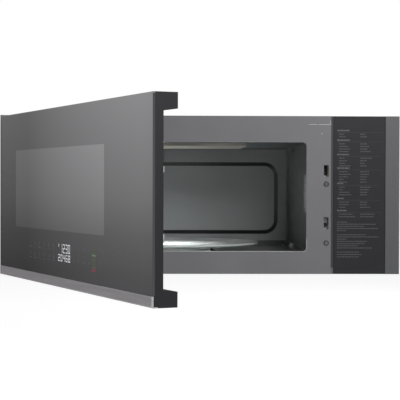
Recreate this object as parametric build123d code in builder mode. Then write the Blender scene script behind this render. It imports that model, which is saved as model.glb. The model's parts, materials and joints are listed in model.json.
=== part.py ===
from build123d import *
import math
import os

os.makedirs("parts", exist_ok=True)

# Over-the-range microwave oven, in millimetres.
# X runs to the viewer's right, the front faces -Y, Z is up.
# The origin is on the wall, in the middle of the housing's width, level with its underside.

# Fits
GAP = 0.3               # clearance between pieces that move apart
PLAY = 0.05             # radial play of a shaft or pin
OVER = 1.0              # how far a cut runs past the material

# Oven cavity
CAV_W = 520.0
CAV_H = 208.0           # height of the opening
CAV_D = 372.0
CAV_Z = 43.0            # sill of the opening above the underside
CAV_DROP = 7.0          # floor below the sill
SILL_D = 9.0            # depth of the sill
BASIN_EDGE = 2.0        # ledge round the sunken floor at the sides
BASIN_R = 14.0
BASIN_SLOPE = 45.0      # in degrees
OPEN_R = 6.0            # corner radius of the opening
CAV_BACK_EDGE = 5.0     # sloped edges at the back
BOSS_W = 473.0          # pressed field in the back wall
BOSS_H = 157.0
BOSS_UP = 97.5          # its middle above the sill
BOSS_R = 30.0
BOSS_DEPTH = 6.0
BOSS_SLOPE = 8.0        # width of its sloped border
SHAFT_HOLE_R = 7.0      # hole in the floor round the motor shaft

# Rooms and strips around the cavity, which give the housing its size
ROOM_LEFT = 61.5        # outside of the housing to the opening
ROOM_ABOVE = 50.0       # opening to the top of the housing
ROOM_BEHIND = 47.0      # cavity to the wall
POST_W = 46.6           # grey plate right of the opening
CHANNEL_W = 4.8         # dark channel beside the plate
GUIDE_W = 98.9
TRIM_W = 27.2

# Housing sheets
SHEET = 1.2             # steel sheet
CASE_BEND = 4.0         # bend radius of the upper edges
CASE_BACK = 3.0         # room between wall and rear panel
REAR_FLANGE = 6.0
FRONT_FLANGE = 12.0
BASE_FLANGE = 12.0
BEAD_W = 300.0          # stiffening bead of the rear panel
BEAD_H = 70.0
BEAD_RIM = 12.0
BEAD_T = 1.5
BEAD_Z = 145.0
EMBOSS_H = 1.0          # pressed line in the front plate
EMBOSS_DOWN = 15.8      # below the top
EMBOSS_X = ((4.5, 19.5), (23.0, 44.0))     # its two stretches, right of the opening

# Lamp screen in the right wall, and the cover under the ceiling
SCREEN_Y = 25.0         # middle of the screen behind the front plate
SCREEN_L = 44.0
SCREEN_UP = 110.0       # its middle above the sill
SCREEN_H = 72.0
COVER_W = 296.0
COVER_D = 208.0
COVER_Y = 154.0         # middle of the cover behind the front plate
COVER_R = 8.0
COVER_DROP = 5.7
COVER_T = 1.5
COVER_NOTCH_W = 43.0
COVER_NOTCH_IN = 0.8    # its depth, which leaves the rim closed
COVER_NOTCH_X = 27.5    # right of the cavity's middle
LAMP_BOX_L = 32.0
LAMP_BOX_H = 48.0
LAMP_BOX_D = 12.0
LAMP_BOX_T = 2.0
LAMP_R = 7.0
LAMP_OUT = 6.0

# Guide panel, its carrier and the trim
GUIDE_T = 1.2
GUIDE_EDGE = 0.4
TRIM_PROUD = 1.6
TRIM_R = 0.8
CARRIER_D = 12.0
CARRIER_T = 2.0

# Latch, slots and switches
LATCH_IN = 8.9          # middle of the slots left of the plate's right edge
SLOT_W = 9.0
SLOT_H = 22.9
SLOT_Z = (184.8, 85.4)  # lower ends of the two slots
LATCH_SCREW_Z = (171.6, 59.4)
LATCH_SCREW_R = 4.2
LATCH_RING_R = 5.5
HOOK_T = 4.0
HOOK_SHIFT = 1.5        # hooks left of the slots' middle, because they swing out to the right
HOOK_H = 8.0
HOOK_TOOTH = 3.0
HOOK_NOSE = 2.0         # slope at the tip
HOOK_NOSE_H = 3.5
HOOK_ROOT = 4.0         # overlap of hook and bar
HOOK_RISE = 1.2         # tooth above the slot's lower end
HOOK_REACH = 28.0       # beyond the door's inner face
TOOTH_L = 6.0
LATCH_TRAVEL = 3.5
LATCH_BAR_D = 15.0
BAR_DOWN = 3.0          # bar below the lower slot
BAR_UP = 6.0            # and above the upper hook
BAR_SLOT_L = 60.0
BAR_SLOT_W = 7.0
SPRING_L = 12.0
SPRING_R = 1.7
SPRING_WIRE = 0.35
SPRING_TURNS = 4
SPRING_SIDES = 8        # straight pieces in a turn
SPRING_END = 0.05       # room at its ends
LATCH_BOARD_IN = 24.0   # left end of the latch board right of the cavity
LATCH_BOARD_DOWN = 36.0 # below the lower slot
LATCH_BOARD_UP = 16.0   # above the upper slot
LATCH_BOARD_T = 3.0
LEDGE_L = 5.5           # ledge under the tooth
LEDGE_FLAT = 1.5
LEDGE_GAP = 1.0
PLUNGER_GAP = 0.5
PLUNGER_SIZE = 3.0
PLUNGER_OUT = 2.4
PLUNGER_IN = 4.0
PLUNGER_EDGE = 0.6
PLUNGER_TRAVEL = 1.4
SWITCH_T = 5.8
SWITCH_L = 12.8
SWITCH_D = 16.0
SWITCH_WALL = 2.4
SWITCH_UP = (6.0, 8.0)  # lowest switch of each slot above the slot's lower end
SWITCH_APART = 0.2
TERMINAL_PITCH = 7.0
TERMINAL_T = 0.8
TERMINAL_W = 4.0
TERMINAL_L = 5.0

# Door
DOOR_END = 0.8          # right end of the door left of the trim
DOOR_T = 37.5
DOOR_GAP = 0.5
DOOR_Z = 0.6
DOOR_DOWN = 3.1         # door's top below the housing's top
GLASS_T = 3.2
GLASS_R = 1.5
GLASS_EDGE = 0.5
STRIP_H = 16.4          # brushed strip along the bottom
STRIP_T = 1.5
STRIP_LIP = 8.0
STRIP_R = 0.8
THIN_T = 16.0           # door thickness at the finger pocket
THICK_OVER = 1.4        # thick part's end right of the grey plate
HOOK_TOP = (25.9, 22.9)       # under side of the upper return below the top, at its root and its tip
HOOK_BOTTOM = (25.6, 22.6)    # upper side of the lower return
WIN_IN = (32.9, 37.8)   # window inside the cavity's left and right wall
WIN_UP = (52.5, 19.2)   # window above the sill, and below the opening's top
HINGE_IN = 21.0         # hinge axis from the door's left end
HINGE_BEHIND = 10.0     # hinge axis behind the glass face
DOOR_OPEN = 66.2        # opening angle as modelled, in degrees
PIN_R = 3.0
PIN_L = 12.0
PIN_END = 0.5           # room past the pin's end
TONGUE_T = 3.0
TONGUE_R = 4.2
TONGUE_ROOM = 1.0       # round the tongue in the front plate
HINGE_UP = 2.4          # lower tongue above the strip's lip
HINGE_DOWN = 4.5        # upper tongue below the door's top
HINGE_ROOM = 0.9        # clearance round the hinge tongue in the door
HINGE_PLATE_W = 26.0    # flange right of the hinge axis
HINGE_PLATE_OUT = 14.0  # and left of it
HINGE_PLATE_H = 36.0
HINGE_PLATE_T = 2.5
HINGE_PLATE_ROOM = 4.0  # cut in the base plate's flange
HINGE_HOLE_R = 3.0
HINGE_HOLE_PITCH = 22.0

# Choke and panes in the door
CHOKE_OUT = 27.0        # choke outside the cavity's side walls
CHOKE_DOWN = 28.0       # below the sill
CHOKE_UP = 33.0         # above the opening's top
CHOKE_T = 1.0
CHOKE_R = 6.0
FIELD_IN = (16.0, 18.0) # raised field inside the cavity's left and right wall
FIELD_UP = 3.0          # inside its sill and top
COVER_OUT = 7.0         # choke cover outside the choke at the left
COVER_LOW = 6.0         # below the choke
COVER_HIGH = 5.0        # above the choke
COVER_END = 2.6         # its right end left of the plate's right edge
CHOKE_COVER_T = 2.0
HOOK_ROOM = 0.5         # round a hook in the cover
PANE_T = 3.0
PANE_RIM = 8.0
SCREEN_T = 0.8

# Touch board and display
BOARD_LEFT = 150.0      # left end of the board left of the cavity's middle
BOARD_W = 424.0
BOARD_Z = (34.0, 82.0)
BOARD_T = 1.6
BOARD_ROOM = 2.0        # round the board in the door frame
BOARD_POCKET = 8.0
POST_SIZE = 5.0
POST_IN = 6.0           # posts inside the board's edges
DISPLAY_LEFT = 13.0     # left end of the display right of the cavity's middle
DISPLAY_W = 61.5
DISPLAY_Z = (40.0, 76.0)
DISPLAY_T = 4.0

# Turntable
TABLE_ROOM = 6.0        # tray to the cavity's front and back
TABLE_T = 3.5
TABLE_RIM = 4.2         # height of the sloped rim
RIM_W = 16.0            # its width
WHEEL_R = 5.0
WHEEL_W = 5.0
WHEEL_AT = 106.5        # radius of the wheels' track
WHEEL_ANGLES = (-36.9, 83.1, 203.1)
WHEEL_LIFT = 0.15
AXLE_R = 1.5
AXLE_END = 1.2          # axle past the wheel
RING_R = 99.5
RING_W = 5.0
RING_H = 4.0
COUPLER_R = 21.0
COUPLER_HUB = 9.0
COUPLER_LOBE = 8.0
COUPLER_UP = 0.6        # coupler above the floor
LUG_L = 6.0
LUG_W = 5.0
LUG_H = 3.2
LUG_IN = 6.0            # lugs inside the coupler's tips
SHAFT_R = 3.0
SHAFT_FLAT = 0.8        # depth of the shaft's flat
SHAFT_FOOT = 1.0        # shaft's end above the motor's underside
SHAFT_TIP = 1.0         # shaft's tip below the coupler's top
MOTOR_R = 24.0
MOTOR_H = 15.0
EAR_L = 11.0            # ears beyond the motor
EAR_W = 12.0
PLUG_W = 14.0           # connector block of the motor
PLUG_H = 6.0
PLUG_OUT = 5.0
PLUG_UP = 3.0

# Component bay: waveguide, magnetron and supply
GUIDE_DEEP = 84.0       # waveguide's depth
GUIDE_BACK = 154.0      # its middle behind the front plate
GUIDE_PAST_INLET = 36.0 # its left end past the cavity's middle
GUIDE_PAST_MAG = 45.0   # its right end past the magnetron's middle
GUIDE_DOWN = 2.0        # its roof below the case
GUIDE_HOLE = 60.0
ANTENNA_ROOM = 2.0
MAG_IN = 59.8           # magnetron's middle right of the cavity
MAG_W = 86.0
MAG_D = 70.0
MAG_H = 96.0
YOKE_T = 2.0
ANODE_R = 20.0
ANODE_SIDES = 12
MAG_FINS = 6
MAG_FIN_T = 0.8
MAG_FIN_IN = 4.0        # fins inside the yoke's open sides
MAG_FIN_END = 17.0      # first and last fin inside the yoke's ends
MAG_BOX_W = 62.0        # filter box below the yoke
MAG_BOX_D = 52.0
MAG_BOX_H = 22.0
ANTENNA_R = 8.0
ANTENNA_H = 22.0
ANTENNA_EDGE = 3.0
TRAFO_IN = 64.8         # transformer's middle right of the cavity
TRAFO_Y = 84.0
TRAFO_W = 84.0
TRAFO_D = 60.0
TRAFO_H = 68.0
CORE_EDGE = 14.0        # laminations above and below the windows
CORE_WINDOW = 16.0
COIL_W = 57.0
COIL_OUT = 17.0         # coil beyond the core's faces
COIL_R = 14.0
COIL_H = 18.0
COIL_END = 1.0          # coil inside the windows' ends
TRAFO_FOOT = 11.0
TRAFO_FOOT_IN = 5.0
TRAFO_FOOT_T = 2.0
CAP_IN = 29.5           # capacitor's middle left of the housing's side
CAP_Y = 59.0
CAP_R = 17.0
CAP_W = 52.0
CAP_L = 76.0
CAP_TAB = (6.0, 1.0, 8.0)
CAP_TAB_PITCH = 18.0
DIODE_R = 3.0
DIODE_L = 22.0
DIODE_GAP = 16.0        # behind the capacitor
DIODE_LEFT = 14.0       # its left end left of the capacitor's middle
EYELET_L = 20.0
EYELET_W = 7.0
EYELET_T = 1.0
BOARD_BAY_IN = 62.6     # power board's middle right of the guide panel's left edge
BOARD_BAY_W = 96.0
BOARD_BAY_Z = 196.0
BOARD_BAY_H = 130.0
BOARD_BAY_GAP = 6.0     # behind the carrier
RELAY = (18.0, 26.0)
RELAY_PITCH = 24.0
RELAY_UP = 36.0
SMALL_TRAFO = (38.0, 34.0)
SMALL_TRAFO_AT = (-22.0, -34.0)
BOARD_CAP_R = 8.0
BOARD_CAP_AT = (24.0, -30.0)
BOARD_PARTS_H = 18.0
BOARD_POST = 5.0
BOARD_POST_IN = 5.0
CUTOUT_L = 26.0         # thermal cutouts: flange and disc
CUTOUT_W = 10.0
CUTOUT_T = 1.0
CUTOUT_R = 8.0
CUTOUT_H = 7.0
CUTOUT_DOWN = 40.0      # below the opening's top

# Cooling fan
FAN_FROM_MAG = 59.0     # fan's middle right of the magnetron's
FAN_Z = 190.0
FAN_R = 46.0
FAN_TIP = 1.5           # room round the blades
FAN_BLADES = 5
FAN_PITCH = 30.0        # blade pitch in degrees
FAN_BLADE_T = 1.5
FAN_BLADE_W = (12.0, 30.0)    # at the root and at the tip
FAN_HUB = 14.0
FAN_HUB_H = 14.0
FAN_ROOT = 3.0          # blade root inside the hub
SHROUD_SIZE = 108.0
SHROUD_T = 22.0
SHROUD_WALL = 2.0
SHROUD_LEG_IN = 12.0
SHROUD_LEG_W = 18.0
SHROUD_FOOT = 24.0
SPIDER_W = 5.0
SPIDER_HUB = 17.0
FAN_CAP_R = 15.0        # bearing cap of the fan's motor
FAN_CAP_H = 5.0
FAN_MOTOR_W = 44.0
FAN_MOTOR_L = 14.0
FAN_COIL_W = 26.0
FAN_COIL_H = 18.0
FAN_COIL_L = 16.0
FAN_SHAFT_R = 2.0

# Ventilation blower and exhaust
BLOW_IN = 64.8          # middle of the wheel right of the cavity
BLOW_Y = 88.0           # shaft in front of the wall
BLOW_Z = 150.0
BLOW_R = 48.0
BLOW_L = 64.0
BLADES = 24
BLADE_DEEP = 9.0
BLADE_T = 1.0
BLADE_HOOK = 4.2        # how far a blade's tip leans forward
WHEEL_DISC = 2.0
WHEEL_RING = 4.0        # width of the wheel's ring
WHEEL_RING_OUT = 0.8
WHEEL_HUB_R = 8.0
WHEEL_HUB_L = 16.0
SCROLL_R = 55.0         # smallest radius of the scroll
SCROLL_STEP = 6.0       # growth per quarter turn
SCROLL_MOUTH = 50.0
SCROLL_WALL = 1.5
SHAFT_MOUTH_R = 10.0    # hole in the right side plate
BLOW_GAP = 4.0          # wheel to side plates
BLOW_MOTOR_R = 33.0
BLOW_MOTOR_L = 44.0
BLOW_MOTOR_END = 6.0    # closed end of the can
BLOW_MOTOR_EDGE = 4.0
BLOW_FLANGE = 3.0       # square flange past the can
BLOW_FLANGE_T = 2.0
INLET_R = 40.0
DUCT_UP = 0.8           # duct above the cavity
DUCT_END = 6.0          # duct past the outlet's left end
DUCT_FRONT = 3.0        # and past its front
DUCT_LEDGE = 8.0        # ledge of the duct round the scroll's mouth
OUT_W = 254.0           # exhaust opening
OUT_D = 82.0
OUT_Y = 54.0            # its middle in front of the wall
OUT_ROOM = 2.0          # round the collar in the case
COLLAR_H = 12.0
COLLAR_T = 1.2
COLLAR_FLANGE = 10.0
FLAP_T = 1.6
FLAP_Z = 4.0            # flap above the case
FLAP_ROOM = 0.8
FLAP_SEAT = 4.0
FLAP_PIN_R = 2.0
FLAP_PIN_IN = 1.0       # pin inside the collar's front
FLAP_PIN_END = 0.2
FLAP_RIBS = 3
FLAP_RIB_PITCH = 84.0
FLAP_RIB_IN = 12.0

# Underside
FILTER_W = 240.0
FILTER_D = 150.0
FILTER_H = 8.0
FILTER_R = 4.0
FILTER_RIM = 8.0
FILTER_LEDGE = 8.0
FILTER_EDGE = 1.0
FILTER_PAD_IN = 3.0     # mesh pad inside the rim's faces
FILTER_APART = 308.0    # middle to middle
FILTER_Y = 205.0        # middle in front of the wall
FILTER_ROOM = 1.0       # base plate's opening past the filter's front and back
PULL_L = 36.0
PULL_W = 12.0
PULL_RIM = 3.0
PULL_IN = 8.0           # its middle behind the rim
LENS_W = 82.0
LENS_D = 44.0
LENS_R = 5.0
LENS_APART = 354.0
LENS_BACK = 57.0        # middle behind the front plate
LENS_T = 3.0
LENS_RIM = 4.0
LAMP_H = 14.0
LAMP_WALL = 2.0
LAMP_CHIP = 7.0
LAMP_CHIP_H = 3.0
LAMP_CHIP_PITCH = 22.0
VENT_IN = 79.5          # middle of the intake slots left of the housing's side
VENT_Y = (330.0, 100.0)
VENT_COUNT = 10
VENT_PITCH = 12.0
VENT_L = 56.0
VENT_W = 5.0

# Mounts
PLATE_IN = 29.5         # wall plate inside the housing's sides
PLATE_DOWN = 19.0       # and below its top
PLATE_T = 1.5
PLATE_SLOT_L = 48.0
PLATE_SLOT_H = 12.0
PLATE_SLOT_PITCH = 200.0
PLATE_SLOT_Z = 100.0
STUD_SPACING = 406.4
STUD_Z = 230.0
STUD_R = 4.0
STUD_ROOM = 12.0        # hole in the rear panel for a screw head
SCREW_HEAD = 1.2
SCREW_HEAD_R = 4.0
SCREW_IN = 12.0         # rear screws inside the housing's sides
SCREW_DOWN = 30.0       # and below its top
SCREW_PITCH = 253.0     # between the screws of the upper and lower rows
LATCH_SCREW_SHANK = (2.0, 3.0)
LATCH_SCREW_SINK = 0.2
HANGER_X = 250.0
HANGER_W = 40.0
HANGER_Z = 30.0
HANGER_H = 12.0
BOLT_SPACING = 560.0
BOLT_Y = 125.0
BOLT_R = 3.5
NUT_R = 7.0
NUT_H = 6.0
CORD_IN = 33.5          # cord outlet left of the housing's side
CORD_Y = 60.0
CORD_R = 5.0
BUSHING_R = 12.0
BUSHING_L = 8.0
BUSHING_FLANGE = 3.0

# Housing, worked out from the cavity and the rooms around it
BODY_W = ROOM_LEFT + CAV_W + POST_W + CHANNEL_W + GUIDE_W + TRIM_W
BODY_H = CAV_Z + CAV_H + ROOM_ABOVE
BODY_D = CAV_D + ROOM_BEHIND
SIDE_X = BODY_W / 2
FRONT_Y = -BODY_D
PLATE_Y = FRONT_Y + SHEET              # back of the front plate
REAR_Y = -CASE_BACK                    # back of the rear panel
INNER_X = SIDE_X - SHEET
TOP_Z = BODY_H - SHEET
CAV_LEFT = ROOM_LEFT - SIDE_X
CAV_RIGHT = CAV_LEFT + CAV_W
CAV_X = (CAV_LEFT + CAV_RIGHT) / 2
CAV_TOP = CAV_Z + CAV_H
FLOOR_Z = CAV_Z - CAV_DROP
CAV_BACK_Y = FRONT_Y + CAV_D
BAY_X = CAV_RIGHT + SHEET              # outside of the cavity's right wall
ROOF_Z = CAV_TOP + SHEET               # outside of the cavity's ceiling
PLATE_X = CAV_RIGHT + POST_W           # right edge of the grey plate
GUIDE_X = PLATE_X + CHANNEL_W
TRIM_X = GUIDE_X + GUIDE_W
CARRIER_Y = FRONT_Y + GUIDE_T
SCREEN_Z = CAV_Z + SCREEN_UP
LATCH_X = PLATE_X - LATCH_IN           # middle of the slots
HOOK_X = LATCH_X - HOOK_SHIFT

# Door
DOOR_LEFT = -SIDE_X
DOOR_RIGHT = TRIM_X - DOOR_END
DOOR_W = DOOR_RIGHT - DOOR_LEFT
DOOR_H = BODY_H - DOOR_DOWN - DOOR_Z
DOOR_TOP = DOOR_Z + DOOR_H
DOOR_BACK = FRONT_Y - DOOR_GAP
DOOR_FRONT = DOOR_BACK - DOOR_T
SLAB_Y = DOOR_FRONT + GLASS_T          # back of the outer glass
THIN_Y = DOOR_FRONT + THIN_T
THICK_X = PLATE_X + THICK_OVER         # where the thick part ends
GLASS_Z = DOOR_Z + STRIP_H
HINGE_X = DOOR_LEFT + HINGE_IN
HINGE_Y = DOOR_FRONT + HINGE_BEHIND
HINGE = Axis((HINGE_X, HINGE_Y, 0), (0, 0, 1))
HINGE_LOW_Z = DOOR_Z + STRIP_T + HINGE_UP             # underside of the lower tongue
HINGE_HIGH_Z = DOOR_TOP - HINGE_DOWN - TONGUE_T       # underside of the upper tongue
WIN_X = (CAV_LEFT + WIN_IN[0], CAV_RIGHT - WIN_IN[1])
WIN_Z = (CAV_Z + WIN_UP[0], CAV_TOP - WIN_UP[1])
CHOKE_X = (CAV_LEFT - CHOKE_OUT, CAV_RIGHT + CHOKE_OUT)
CHOKE_Z = (CAV_Z - CHOKE_DOWN, CAV_TOP + CHOKE_UP)
FIELD_X = (CAV_LEFT + FIELD_IN[0], CAV_RIGHT - FIELD_IN[1])
FIELD_Z = (CAV_Z + FIELD_UP, CAV_TOP - FIELD_UP)
CHOKE_COVER_X = (CHOKE_X[0] - COVER_OUT, PLATE_X - COVER_END)
CHOKE_COVER_Z = (CHOKE_Z[0] - COVER_LOW, CHOKE_Z[1] + COVER_HIGH)
BOARD_X = (CAV_X - BOARD_LEFT, CAV_X - BOARD_LEFT + BOARD_W)
DISPLAY_X = (CAV_X + DISPLAY_LEFT, CAV_X + DISPLAY_LEFT + DISPLAY_W)

# Turntable
TABLE_R = CAV_D / 2 - TABLE_ROOM
TABLE_AT = (CAV_X, FRONT_Y + CAV_D / 2)
WHEEL_Z = FLOOR_Z + WHEEL_LIFT + WHEEL_R
TRAY_Z = WHEEL_Z + WHEEL_R + GAP
COUPLER_Z = FLOOR_Z + COUPLER_UP
COUPLER_TOP = TRAY_Z - GAP

# Bay, blower and exhaust
GUIDE_AT_Y = FRONT_Y + GUIDE_BACK
MAG_X = BAY_X + MAG_IN
GUIDE_LEFT = CAV_X - GUIDE_PAST_INLET
GUIDE_RIGHT = MAG_X + GUIDE_PAST_MAG
GUIDE_ROOF = TOP_Z - GUIDE_DOWN
TRAFO_X = BAY_X + TRAFO_IN
CAP_X = SIDE_X - CAP_IN
BOARD_BAY_X = GUIDE_X + BOARD_BAY_IN
FAN_X = MAG_X + FAN_FROM_MAG
FAN_Y = GUIDE_AT_Y
BLOW_X = BAY_X + BLOW_IN
BLOW_AT = -BLOW_Y
DUCT_Z = ROOF_Z + DUCT_UP              # underside of the exhaust duct
DUCT_TOP = TOP_Z - SHEET
CORD_X = SIDE_X - CORD_IN
VENT_X = SIDE_X - VENT_IN
FILTER_X = (CAV_X - FILTER_APART / 2, CAV_X + FILTER_APART / 2)
LENS_X = (CAV_X - LENS_APART / 2, CAV_X + LENS_APART / 2)
LENS_AT = FRONT_Y + LENS_BACK


def front(y):
    """Plane that faces the front at depth y, with sketch axes X and Z."""
    return Plane.XZ.offset(-y)


def side(x):
    """Plane that faces right at x, with sketch axes Y and Z."""
    return Plane.YZ.offset(x)


def level(z):
    """Plane that faces up at height z, with sketch axes X and Y."""
    return Plane.XY.offset(z)


def span(a, b, radius=0.0, mode=Mode.ADD):
    """Rectangle between two opposite corners, with its corners rounded by radius."""
    width = abs(b[0] - a[0])
    height = abs(b[1] - a[1])
    with Locations(((a[0] + b[0]) / 2, (a[1] + b[1]) / 2)):
        if radius > 0:
            RectangleRounded(width, height, radius, mode=mode)
        else:
            Rectangle(width, height, mode=mode)


def round_edges(builder, radius):
    """Circular edges of one radius."""
    circles = builder.edges().filter_by(GeomType.CIRCLE)
    return circles.filter_by(lambda edge: abs(edge.radius - radius) < 0.01)


def swung(part):
    """The door piece turned about the hinge axis to the modelled opening angle."""
    return part.rotate(HINGE, -DOOR_OPEN)


# Wall plate: a flat steel plate with two hangers that the housing hooks onto
PLATE_FRONT = -PLATE_T
HANGER_OUT = REAR_Y - SHEET - GAP - PLATE_T

with BuildPart() as wall_plate:
    with BuildSketch(front(0)):
        span((PLATE_IN - SIDE_X, 0), (SIDE_X - PLATE_IN, BODY_H - PLATE_DOWN))
        with Locations((-STUD_SPACING / 2, STUD_Z), (STUD_SPACING / 2, STUD_Z)):
            Circle(STUD_R, mode=Mode.SUBTRACT)
        with Locations((0, PLATE_SLOT_Z)):
            with GridLocations(PLATE_SLOT_PITCH, 0, 3, 1):
                Rectangle(PLATE_SLOT_L, PLATE_SLOT_H, mode=Mode.SUBTRACT)
    extrude(amount=PLATE_T)
    with BuildSketch(side(-HANGER_X - HANGER_W / 2)):
        with BuildLine():
            Polyline(
                (PLATE_FRONT, HANGER_Z),
                (HANGER_OUT - PLATE_T, HANGER_Z),
                (HANGER_OUT - PLATE_T, HANGER_Z + HANGER_H),
                (HANGER_OUT, HANGER_Z + HANGER_H),
                (HANGER_OUT, HANGER_Z + PLATE_T),
                (PLATE_FRONT, HANGER_Z + PLATE_T),
                close=True,
            )
        make_face()
    extrude(amount=HANGER_W)
    mirror(about=Plane.YZ)
wall_plate.part.label = "wall_plate"
export_step(wall_plate.part, "parts/wall_plate.step")

# Rear panel: a shallow tray with slots for the hangers and holes over the wall screws
with BuildPart() as rear_panel:
    with BuildSketch(front(REAR_Y)):
        span((-INNER_X, SHEET), (INNER_X, TOP_Z))
    extrude(amount=REAR_FLANGE)
    offset(amount=-SHEET, openings=rear_panel.faces().sort_by(Axis.Y)[0], kind=Kind.INTERSECTION)
    with BuildSketch(front(REAR_Y)):
        for x in (-HANGER_X, HANGER_X):
            span((x - HANGER_W / 2 - GAP, HANGER_Z - GAP),
                 (x + HANGER_W / 2 + GAP, HANGER_Z + HANGER_H + GAP))
        with Locations((-STUD_SPACING / 2, STUD_Z), (STUD_SPACING / 2, STUD_Z)):
            Circle(STUD_ROOM)
    extrude(amount=SHEET, mode=Mode.SUBTRACT)
    with BuildSketch(front(REAR_Y - SHEET)):
        with Locations((0, BEAD_Z)):
            Rectangle(BEAD_W, BEAD_H)
            Rectangle(BEAD_W - 2 * BEAD_RIM, BEAD_H - 2 * BEAD_RIM, mode=Mode.SUBTRACT)
    extrude(amount=BEAD_T)
rear_panel.part.label = "rear_panel"
export_step(rear_panel.part, "parts/rear_panel.step")

# Outer case: one sheet over the top and both sides, with weld nuts for the cabinet bolts
with BuildPart() as outer_case:
    with BuildSketch(front(REAR_Y)) as case_profile:
        span((-SIDE_X, 0), (SIDE_X, BODY_H))
        fillet(case_profile.vertices().group_by(Axis.Y)[-1], CASE_BEND)
        span((-INNER_X, 0), (INNER_X, TOP_Z), mode=Mode.SUBTRACT)
    extrude(amount=BODY_D - SHEET - CASE_BACK)
    with BuildSketch(level(TOP_Z - NUT_H)):
        with Locations((-BOLT_SPACING / 2, -BOLT_Y), (BOLT_SPACING / 2, -BOLT_Y)):
            RegularPolygon(NUT_R, 6)
    extrude(amount=NUT_H)
    with BuildSketch(level(BODY_H)):
        with Locations((0, -OUT_Y)):
            Rectangle(OUT_W + 2 * OUT_ROOM, OUT_D + 2 * OUT_ROOM)
        with Locations((-BOLT_SPACING / 2, -BOLT_Y), (BOLT_SPACING / 2, -BOLT_Y)):
            Circle(BOLT_R)
        with Locations((CORD_X, -CORD_Y)):
            Circle(BUSHING_R + PLAY)
    extrude(amount=-SHEET - NUT_H, mode=Mode.SUBTRACT)
outer_case.part.label = "outer_case"
export_step(outer_case.part, "parts/outer_case.step")

# Base plate: a tray with openings for the grease filters and lamp lenses, and intake slots
with BuildPart() as base_plate:
    with BuildSketch(level(0)):
        span((-INNER_X, PLATE_Y), (INNER_X, REAR_Y - REAR_FLANGE))
    extrude(amount=BASE_FLANGE)
    offset(amount=-SHEET, openings=base_plate.faces().sort_by(Axis.Z)[-1], kind=Kind.INTERSECTION)
    with BuildSketch(level(0)):
        for x in FILTER_X:
            with Locations((x, -FILTER_Y)):
                Rectangle(FILTER_W - 2 * FILTER_LEDGE, FILTER_D + 2 * FILTER_ROOM)
        for x in LENS_X:
            with Locations((x, LENS_AT)):
                RectangleRounded(LENS_W, LENS_D, LENS_R)
        for y in VENT_Y:
            with Locations((VENT_X, -y)):
                with GridLocations(VENT_PITCH, 0, VENT_COUNT, 1):
                    Rectangle(VENT_W, VENT_L)
    extrude(amount=SHEET, mode=Mode.SUBTRACT)
    with BuildSketch(level(SHEET)):
        span((-INNER_X, PLATE_Y), (HINGE_X + HINGE_PLATE_W, PLATE_Y + HINGE_PLATE_ROOM))
    extrude(amount=BASE_FLANGE, mode=Mode.SUBTRACT)
base_plate.part.label = "base_plate"
export_step(base_plate.part, "parts/base_plate.step")

# Front plate with the oven opening, latch slots, screw dimples and hinge slots
with BuildPart() as front_frame:
    with BuildSketch(front(PLATE_Y)):
        span((-SIDE_X, 0), (PLATE_X, BODY_H))
    extrude(amount=SHEET)
    with BuildSketch(front(PLATE_Y)):
        span((-INNER_X + PLAY, BASE_FLANGE + GAP), (PLATE_X, TOP_Z - PLAY))
        span((-INNER_X + SHEET, BASE_FLANGE - OVER), (PLATE_X + OVER, TOP_Z - SHEET), mode=Mode.SUBTRACT)
    extrude(amount=-FRONT_FLANGE)
    with BuildSketch(front(FRONT_Y)):
        span((CAV_LEFT - SHEET, CAV_Z - SHEET), (CAV_RIGHT + SHEET, ROOF_Z), OPEN_R + SHEET)
        for z in SLOT_Z:
            span((LATCH_X - SLOT_W / 2, z), (LATCH_X + SLOT_W / 2, z + SLOT_H))
        with Locations(*[(LATCH_X, z) for z in LATCH_SCREW_Z]):
            Circle(LATCH_RING_R)
        for z in (HINGE_LOW_Z, HINGE_HIGH_Z):
            span((HINGE_X - TONGUE_R - TONGUE_ROOM, z - TONGUE_ROOM),
                 (HINGE_X + TONGUE_R + TONGUE_ROOM, z + TONGUE_T + TONGUE_ROOM))
    extrude(amount=-SHEET, mode=Mode.SUBTRACT)
    with BuildSketch(front(FRONT_Y)):
        for a, b in EMBOSS_X:
            span((CAV_RIGHT + a, BODY_H - EMBOSS_DOWN), (CAV_RIGHT + b, BODY_H - EMBOSS_DOWN + EMBOSS_H))
    extrude(amount=-SHEET / 2, mode=Mode.SUBTRACT)
front_frame.part.label = "front_frame"
export_step(front_frame.part, "parts/front_frame.step")

# Carrier behind the guide panel: a dark moulded tray that also forms the channel floor
with BuildPart() as panel_carrier:
    with BuildSketch(front(CARRIER_Y + CARRIER_D)):
        span((PLATE_X + PLAY, BASE_FLANGE + GAP), (INNER_X, TOP_Z))
    extrude(amount=CARRIER_D)
    offset(amount=-CARRIER_T, openings=panel_carrier.faces().sort_by(Axis.Y)[-1],
           kind=Kind.INTERSECTION)
    with BuildSketch(side(GUIDE_X + GUIDE_W / 2 - CARRIER_T / 2)):
        span((CARRIER_Y + CARRIER_T, BASE_FLANGE + GAP + CARRIER_T),
             (CARRIER_Y + CARRIER_D, TOP_Z - CARRIER_T))
    extrude(amount=CARRIER_T)
panel_carrier.part.label = "panel_carrier"
export_step(panel_carrier.part, "parts/panel_carrier.step")

# Guide panel: a flat dark panel beside the oven opening
with BuildPart() as guide_panel:
    with BuildSketch(front(CARRIER_Y)):
        span((GUIDE_X, GUIDE_EDGE), (TRIM_X, BODY_H - GUIDE_EDGE))
    extrude(amount=GUIDE_T)
    chamfer(guide_panel.faces().sort_by(Axis.Y)[0].edges(), GUIDE_EDGE)
guide_panel.part.label = "guide_panel"
export_step(guide_panel.part, "parts/guide_panel.step")

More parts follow.
